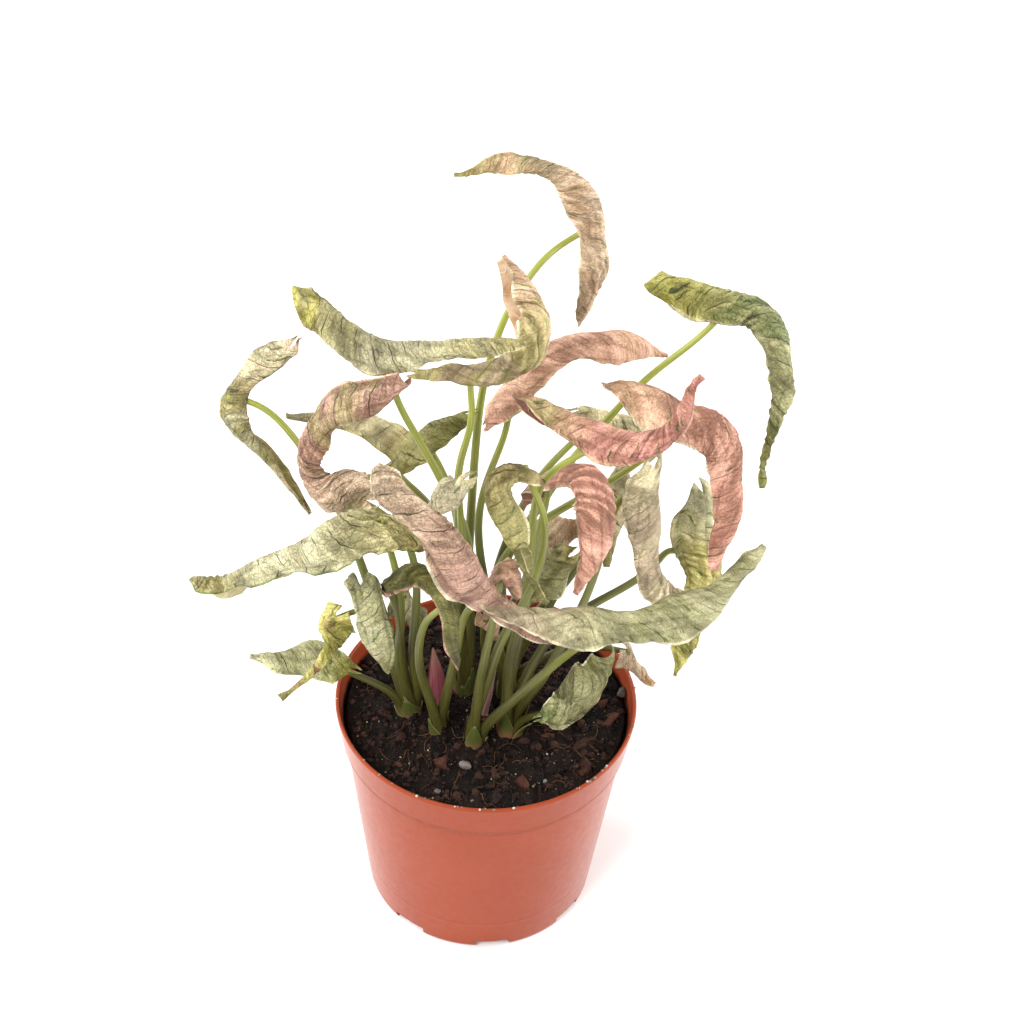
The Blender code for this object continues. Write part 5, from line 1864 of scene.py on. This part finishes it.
@dataclass
class Studio:
    """A pale floor, soft lights and the camera at the photograph's place."""

    floor_size: float = 6.0
    sensor: float = 36.0
    picture: float = 1024.0
    world_strength: float = 0.60

    def floor(self) -> None:
        """Lays the floor."""
        bm = bmesh.new()
        bmesh.ops.create_grid(bm, x_segments=1, y_segments=1, size=self.floor_size / 2)
        mesh = bpy.data.meshes.new("studio_floor")
        bm.to_mesh(mesh)
        bm.free()
        mesh.materials.append(StudioPaper().material())
        floor = bpy.data.objects.new("studio_floor", mesh)
        bpy.context.scene.collection.objects.link(floor)

    def camera(self) -> None:
        """Places the camera."""
        data = bpy.data.cameras.new("photo_camera")
        data.sensor_width = self.sensor
        data.lens = VIEW.focal * self.sensor / self.picture
        data.clip_start = 0.01
        data.clip_end = 20.0
        camera = bpy.data.objects.new("photo_camera", data)
        bpy.context.scene.collection.objects.link(camera)
        turn = Matrix((VIEW.right, VIEW.up, -VIEW.forward)).transposed().to_4x4()
        camera.matrix_world = Matrix.Translation(VIEW.eye) @ turn
        bpy.context.scene.camera = camera

    def lamp(self, name: str, place: Vector, size: float, power: float) -> None:
        """Hangs a square soft light that looks at the plant.

        Args:
            name: its name.
            place: where it hangs.
            size: the length of its side.
            power: its power in watts.
        """
        data = bpy.data.lights.new(name, "AREA")
        data.size = size
        data.energy = power
        lamp = bpy.data.objects.new(name, data)
        aim = Vector((0.0, 0.0, 0.16)) - place
        lamp.matrix_world = Matrix.Translation(place) @ aim.to_track_quat("-Z", "Y").to_matrix().to_4x4()
        bpy.context.scene.collection.objects.link(lamp)

    def build(self) -> None:
        """Builds the studio."""
        self.floor()
        self.camera()
        self.lamp("key_light", Vector((-0.7, -1.0, 1.3)), 0.7, 22.0)
        self.lamp("fill_light", Vector((1.1, -0.9, 0.9)), 1.0, 6.0)
        self.lamp("left_light", Vector((-1.3, 0.45, 0.7)), 0.9, 20.0)
        self.lamp("right_light", Vector((1.3, 0.45, 0.7)), 0.9, 20.0)
        world = bpy.data.worlds.new("Soft studio")
        world.use_nodes = True
        background = world.node_tree.nodes["Background"]
        background.inputs["Color"].default_value = linear("#ffffff")
        background.inputs["Strength"].default_value = self.world_strength
        bpy.context.scene.world = world
        bpy.context.scene.view_settings.view_transform = "Standard"


# The skin of each leaf: its tint at the start, the middle and the end of its line, then those of its
# patches, flecks, veins and margin, and how strong the flecks, veins and patches are
SKINS: dict[str, LeafSkin] = {
    "leaf_top": LeafSkin(
        Tint.SAND, Tint.SAND, Tint.KHAKI, Tint.PEACH, Tint.GREEN,
        Tint.TAN, Tint.IVORY, 0.40, 0.45, 0.45,
    ),
    "leaf_left_roll": LeafSkin(
        Tint.LEMON, Tint.PALE, Tint.KHAKI, Tint.GREY_SAGE, Tint.OLIVE,
        Tint.UMBER, Tint.CREAM, 0.30, 0.80, 0.50,
    ),
    "leaf_upright_turn": LeafSkin(
        Tint.STRAW, Tint.KHAKI, Tint.PEACH, Tint.SAND, Tint.GREEN,
        Tint.BROWN, Tint.IVORY, 0.45, 0.45, 0.50,
    ),
    "leaf_salmon_arch": LeafSkin(
        Tint.SALMON, Tint.SALMON, Tint.SALMON, Tint.PEACH, Tint.TAN,
        Tint.ROSE, Tint.IVORY, 0.12, 0.35, 0.50,
    ),
    "leaf_right_hook": LeafSkin(
        Tint.LIME, Tint.SAGE, Tint.OLIVE, Tint.MOSS, Tint.DARK_GREEN,
        Tint.DARK_GREEN, Tint.CREAM, 0.45, 0.65, 0.50,
    ),
    "leaf_big_pink": LeafSkin(
        Tint.PEACH, Tint.PINK, Tint.PINK, Tint.ROSE, Tint.MOSS,
        Tint.MAUVE, Tint.IVORY, 0.32, 0.40, 0.35,
    ),
    "leaf_magenta_tail": LeafSkin(
        Tint.KHAKI, Tint.ROSE, Tint.ROSE, Tint.PINK, Tint.MOSS,
        Tint.MAUVE, Tint.PEACH, 0.40, 0.35, 0.45,
    ),
    "leaf_olive_hook": LeafSkin(
        Tint.BROWN, Tint.OLIVE, Tint.OLIVE, Tint.KHAKI, Tint.MOSS,
        Tint.DARK_OLIVE, Tint.CREAM, 0.35, 0.60, 0.50,
    ),
    "leaf_pink_hook": LeafSkin(
        Tint.MAUVE, Tint.PINK, Tint.PINK, Tint.ROSE, Tint.MAUVE,
        Tint.ROSE, Tint.IVORY, 0.12, 0.25, 0.35,
    ),
    "leaf_beige_strip": LeafSkin(
        Tint.CREAM, Tint.BEIGE, Tint.BEIGE, Tint.CREAM, Tint.OLIVE,
        Tint.BROWN, Tint.IVORY, 0.20, 0.60, 0.45,
    ),
    "leaf_lime_wavy": LeafSkin(
        Tint.PALE, Tint.STRAW, Tint.LEMON, Tint.LIME, Tint.MOSS,
        Tint.MOSS, Tint.CREAM, 0.35, 0.60, 0.35,
    ),
    "leaf_long_sage": LeafSkin(
        Tint.BEIGE, Tint.SAGE, Tint.SAGE, Tint.PALE, Tint.MOSS,
        Tint.OLIVE, Tint.IVORY, 0.50, 0.35, 0.45,
    ),
    "leaf_dusty_band": LeafSkin(
        Tint.SAND, Tint.DUSTY, Tint.DUSTY, Tint.SAND, Tint.MOSS,
        Tint.UMBER, Tint.IVORY, 0.20, 0.85, 0.40,
    ),
    "leaf_long_pale_left": LeafSkin(
        Tint.STRAW, Tint.PALE, Tint.KHAKI, Tint.CREAM, Tint.MOSS,
        Tint.DARK_GREEN, Tint.GREEN, 0.30, 0.85, 0.45,
    ),
    "leaf_pink_sickle": LeafSkin(
        Tint.DUSTY, Tint.DUSTY, Tint.SAND, Tint.KHAKI, Tint.DARK_OLIVE,
        Tint.UMBER, Tint.PEACH, 0.30, 0.85, 0.50,
    ),
    "leaf_far_left": LeafSkin(
        Tint.SAND, Tint.KHAKI, Tint.OLIVE, Tint.PALE, Tint.DARK_OLIVE,
        Tint.UMBER, Tint.DUSTY, 0.40, 0.60, 0.60,
    ),
    "leaf_yellow_behind": LeafSkin(
        Tint.CREAM, Tint.CREAM, Tint.LEMON, Tint.TAN, Tint.GREEN,
        Tint.OLIVE, Tint.STRAW, 0.30, 0.55, 0.25,
    ),
    "leaf_olive_arm": LeafSkin(
        Tint.KHAKI, Tint.OLIVE, Tint.OLIVE, Tint.KHAKI, Tint.DARK_OLIVE,
        Tint.DARK_GREEN, Tint.KHAKI, 0.40, 0.50, 0.50,
    ),
    "leaf_pale_wedge": LeafSkin(
        Tint.CREAM, Tint.IVORY, Tint.CREAM, Tint.CREAM, Tint.GREEN,
        Tint.GREEN, Tint.IVORY, 0.40, 0.60, 0.40,
    ),
    "leaf_hanging_pale": LeafSkin(
        Tint.SAGE, Tint.SAGE, Tint.OLIVE, Tint.PALE, Tint.MOSS,
        Tint.DARK_GREEN, Tint.MOSS, 0.30, 0.95, 0.45,
    ),
    "leaf_crumpled_curl": LeafSkin(
        Tint.LEMON, Tint.LIME, Tint.OLIVE, Tint.TAN, Tint.BROWN,
        Tint.DARK_OLIVE, Tint.KHAKI, 0.35, 0.55, 0.45,
    ),
    "leaf_low_left": LeafSkin(
        Tint.LIME, Tint.SAGE, Tint.PALE, Tint.GREEN, Tint.MOSS,
        Tint.MOSS, Tint.CREAM, 0.50, 0.65, 0.35,
    ),
    "leaf_olive_arch": LeafSkin(
        Tint.DARK_OLIVE, Tint.OLIVE, Tint.DARK_OLIVE, Tint.DARK_OLIVE, Tint.DARK_OLIVE,
        Tint.DARK_GREEN, Tint.DUSTY, 0.25, 0.60, 0.45,
    ),
    "leaf_small_fan": LeafSkin(
        Tint.SAGE, Tint.PALE, Tint.SAGE, Tint.CREAM, Tint.MOSS,
        Tint.DARK_GREEN, Tint.MOSS, 0.25, 0.90, 0.40,
    ),
    "leaf_low_right": LeafSkin(
        Tint.GREEN, Tint.SAGE, Tint.OLIVE, Tint.SAGE, Tint.MOSS,
        Tint.DARK_OLIVE, Tint.IVORY, 0.45, 0.50, 0.45,
    ),
    "leaf_over_rim": LeafSkin(
        Tint.SAND, Tint.SAND, Tint.TAN, Tint.SAND, Tint.BROWN,
        Tint.BROWN, Tint.SAND, 0.20, 0.50, 0.50,
    ),
    "leaf_brown_middle": LeafSkin(
        Tint.TAN, Tint.SAND, Tint.TAN, Tint.PEACH, Tint.BROWN,
        Tint.BROWN, Tint.SAND, 0.20, 0.50, 0.50,
    ),
    "leaf_olive_middle": LeafSkin(
        Tint.KHAKI, Tint.SAGE, Tint.KHAKI, Tint.OLIVE, Tint.DARK_OLIVE,
        Tint.DARK_OLIVE, Tint.CREAM, 0.45, 0.80, 0.50,
    ),
    "leaf_pink_scrap": LeafSkin(
        Tint.SALMON, Tint.SALMON, Tint.DUSTY, Tint.PEACH, Tint.MAUVE,
        Tint.MAUVE, Tint.SAND, 0.20, 0.40, 0.50,
    ),
    "leaf_green_behind": LeafSkin(
        Tint.CREAM, Tint.CREAM, Tint.SAGE, Tint.CREAM, Tint.MOSS,
        Tint.OLIVE, Tint.CREAM, 0.50, 0.60, 0.40,
    ),
    "leaf_pale_strip": LeafSkin(
        Tint.CREAM, Tint.PALE, Tint.KHAKI, Tint.SAND, Tint.MOSS,
        Tint.OLIVE, Tint.IVORY, 0.40, 0.60, 0.50,
    ),
    "leaf_peach_lobe": LeafSkin(
        Tint.PEACH, Tint.PEACH, Tint.TAN, Tint.SAND, Tint.TAN,
        Tint.BROWN, Tint.IVORY, 0.20, 0.40, 0.40,
    ),
}


def main() -> None:
    """Builds every piece, in order."""
    logging.basicConfig(level=logging.INFO, format="%(message)s")
    Studio().build()
    NurseryPot().build()
    PottingSoil().build()
    stalk_skin = StalkSkin().material()
    sheath_skin = WingSkin().material()
    for name in SHOOTS:
        Shoot(name, stalk_skin, sheath_skin).build()
    magenta = SheathSkin("Young leaf magenta", "#7c2f42", "#b5666c", "#b07a6c").material()
    mauve = SheathSkin("Young leaf mauve", "#8a5a5c", "#c09890", "#a8a878").material()
    YoungLeaf("young_leaf_middle", (-0.019, -0.001), (433, 648, -7), 0.0040, magenta).build()
    YoungLeaf("young_leaf_left", (-0.031, 0.0075), (411, 664, 4), 0.0026, mauve).build()
    YoungLeaf("young_leaf_right", (-0.001, -0.005), (497, 662, -8), 0.0026, mauve).build()
    undersides = {family: LeafUnderside(family).material() for family in Family}
    for i, leaf in enumerate(LEAVES):
        side = 1 if i % 2 else -1
        Blade(
            leaf, SKINS[leaf.name], seed=SEED_STEP * i, rib_side=side, undersides=undersides,
        ).build()
    log.info("built %d leaves on %d shoots", len(LEAVES), len(SHOOTS))


if __name__ == "__main__":
    main()
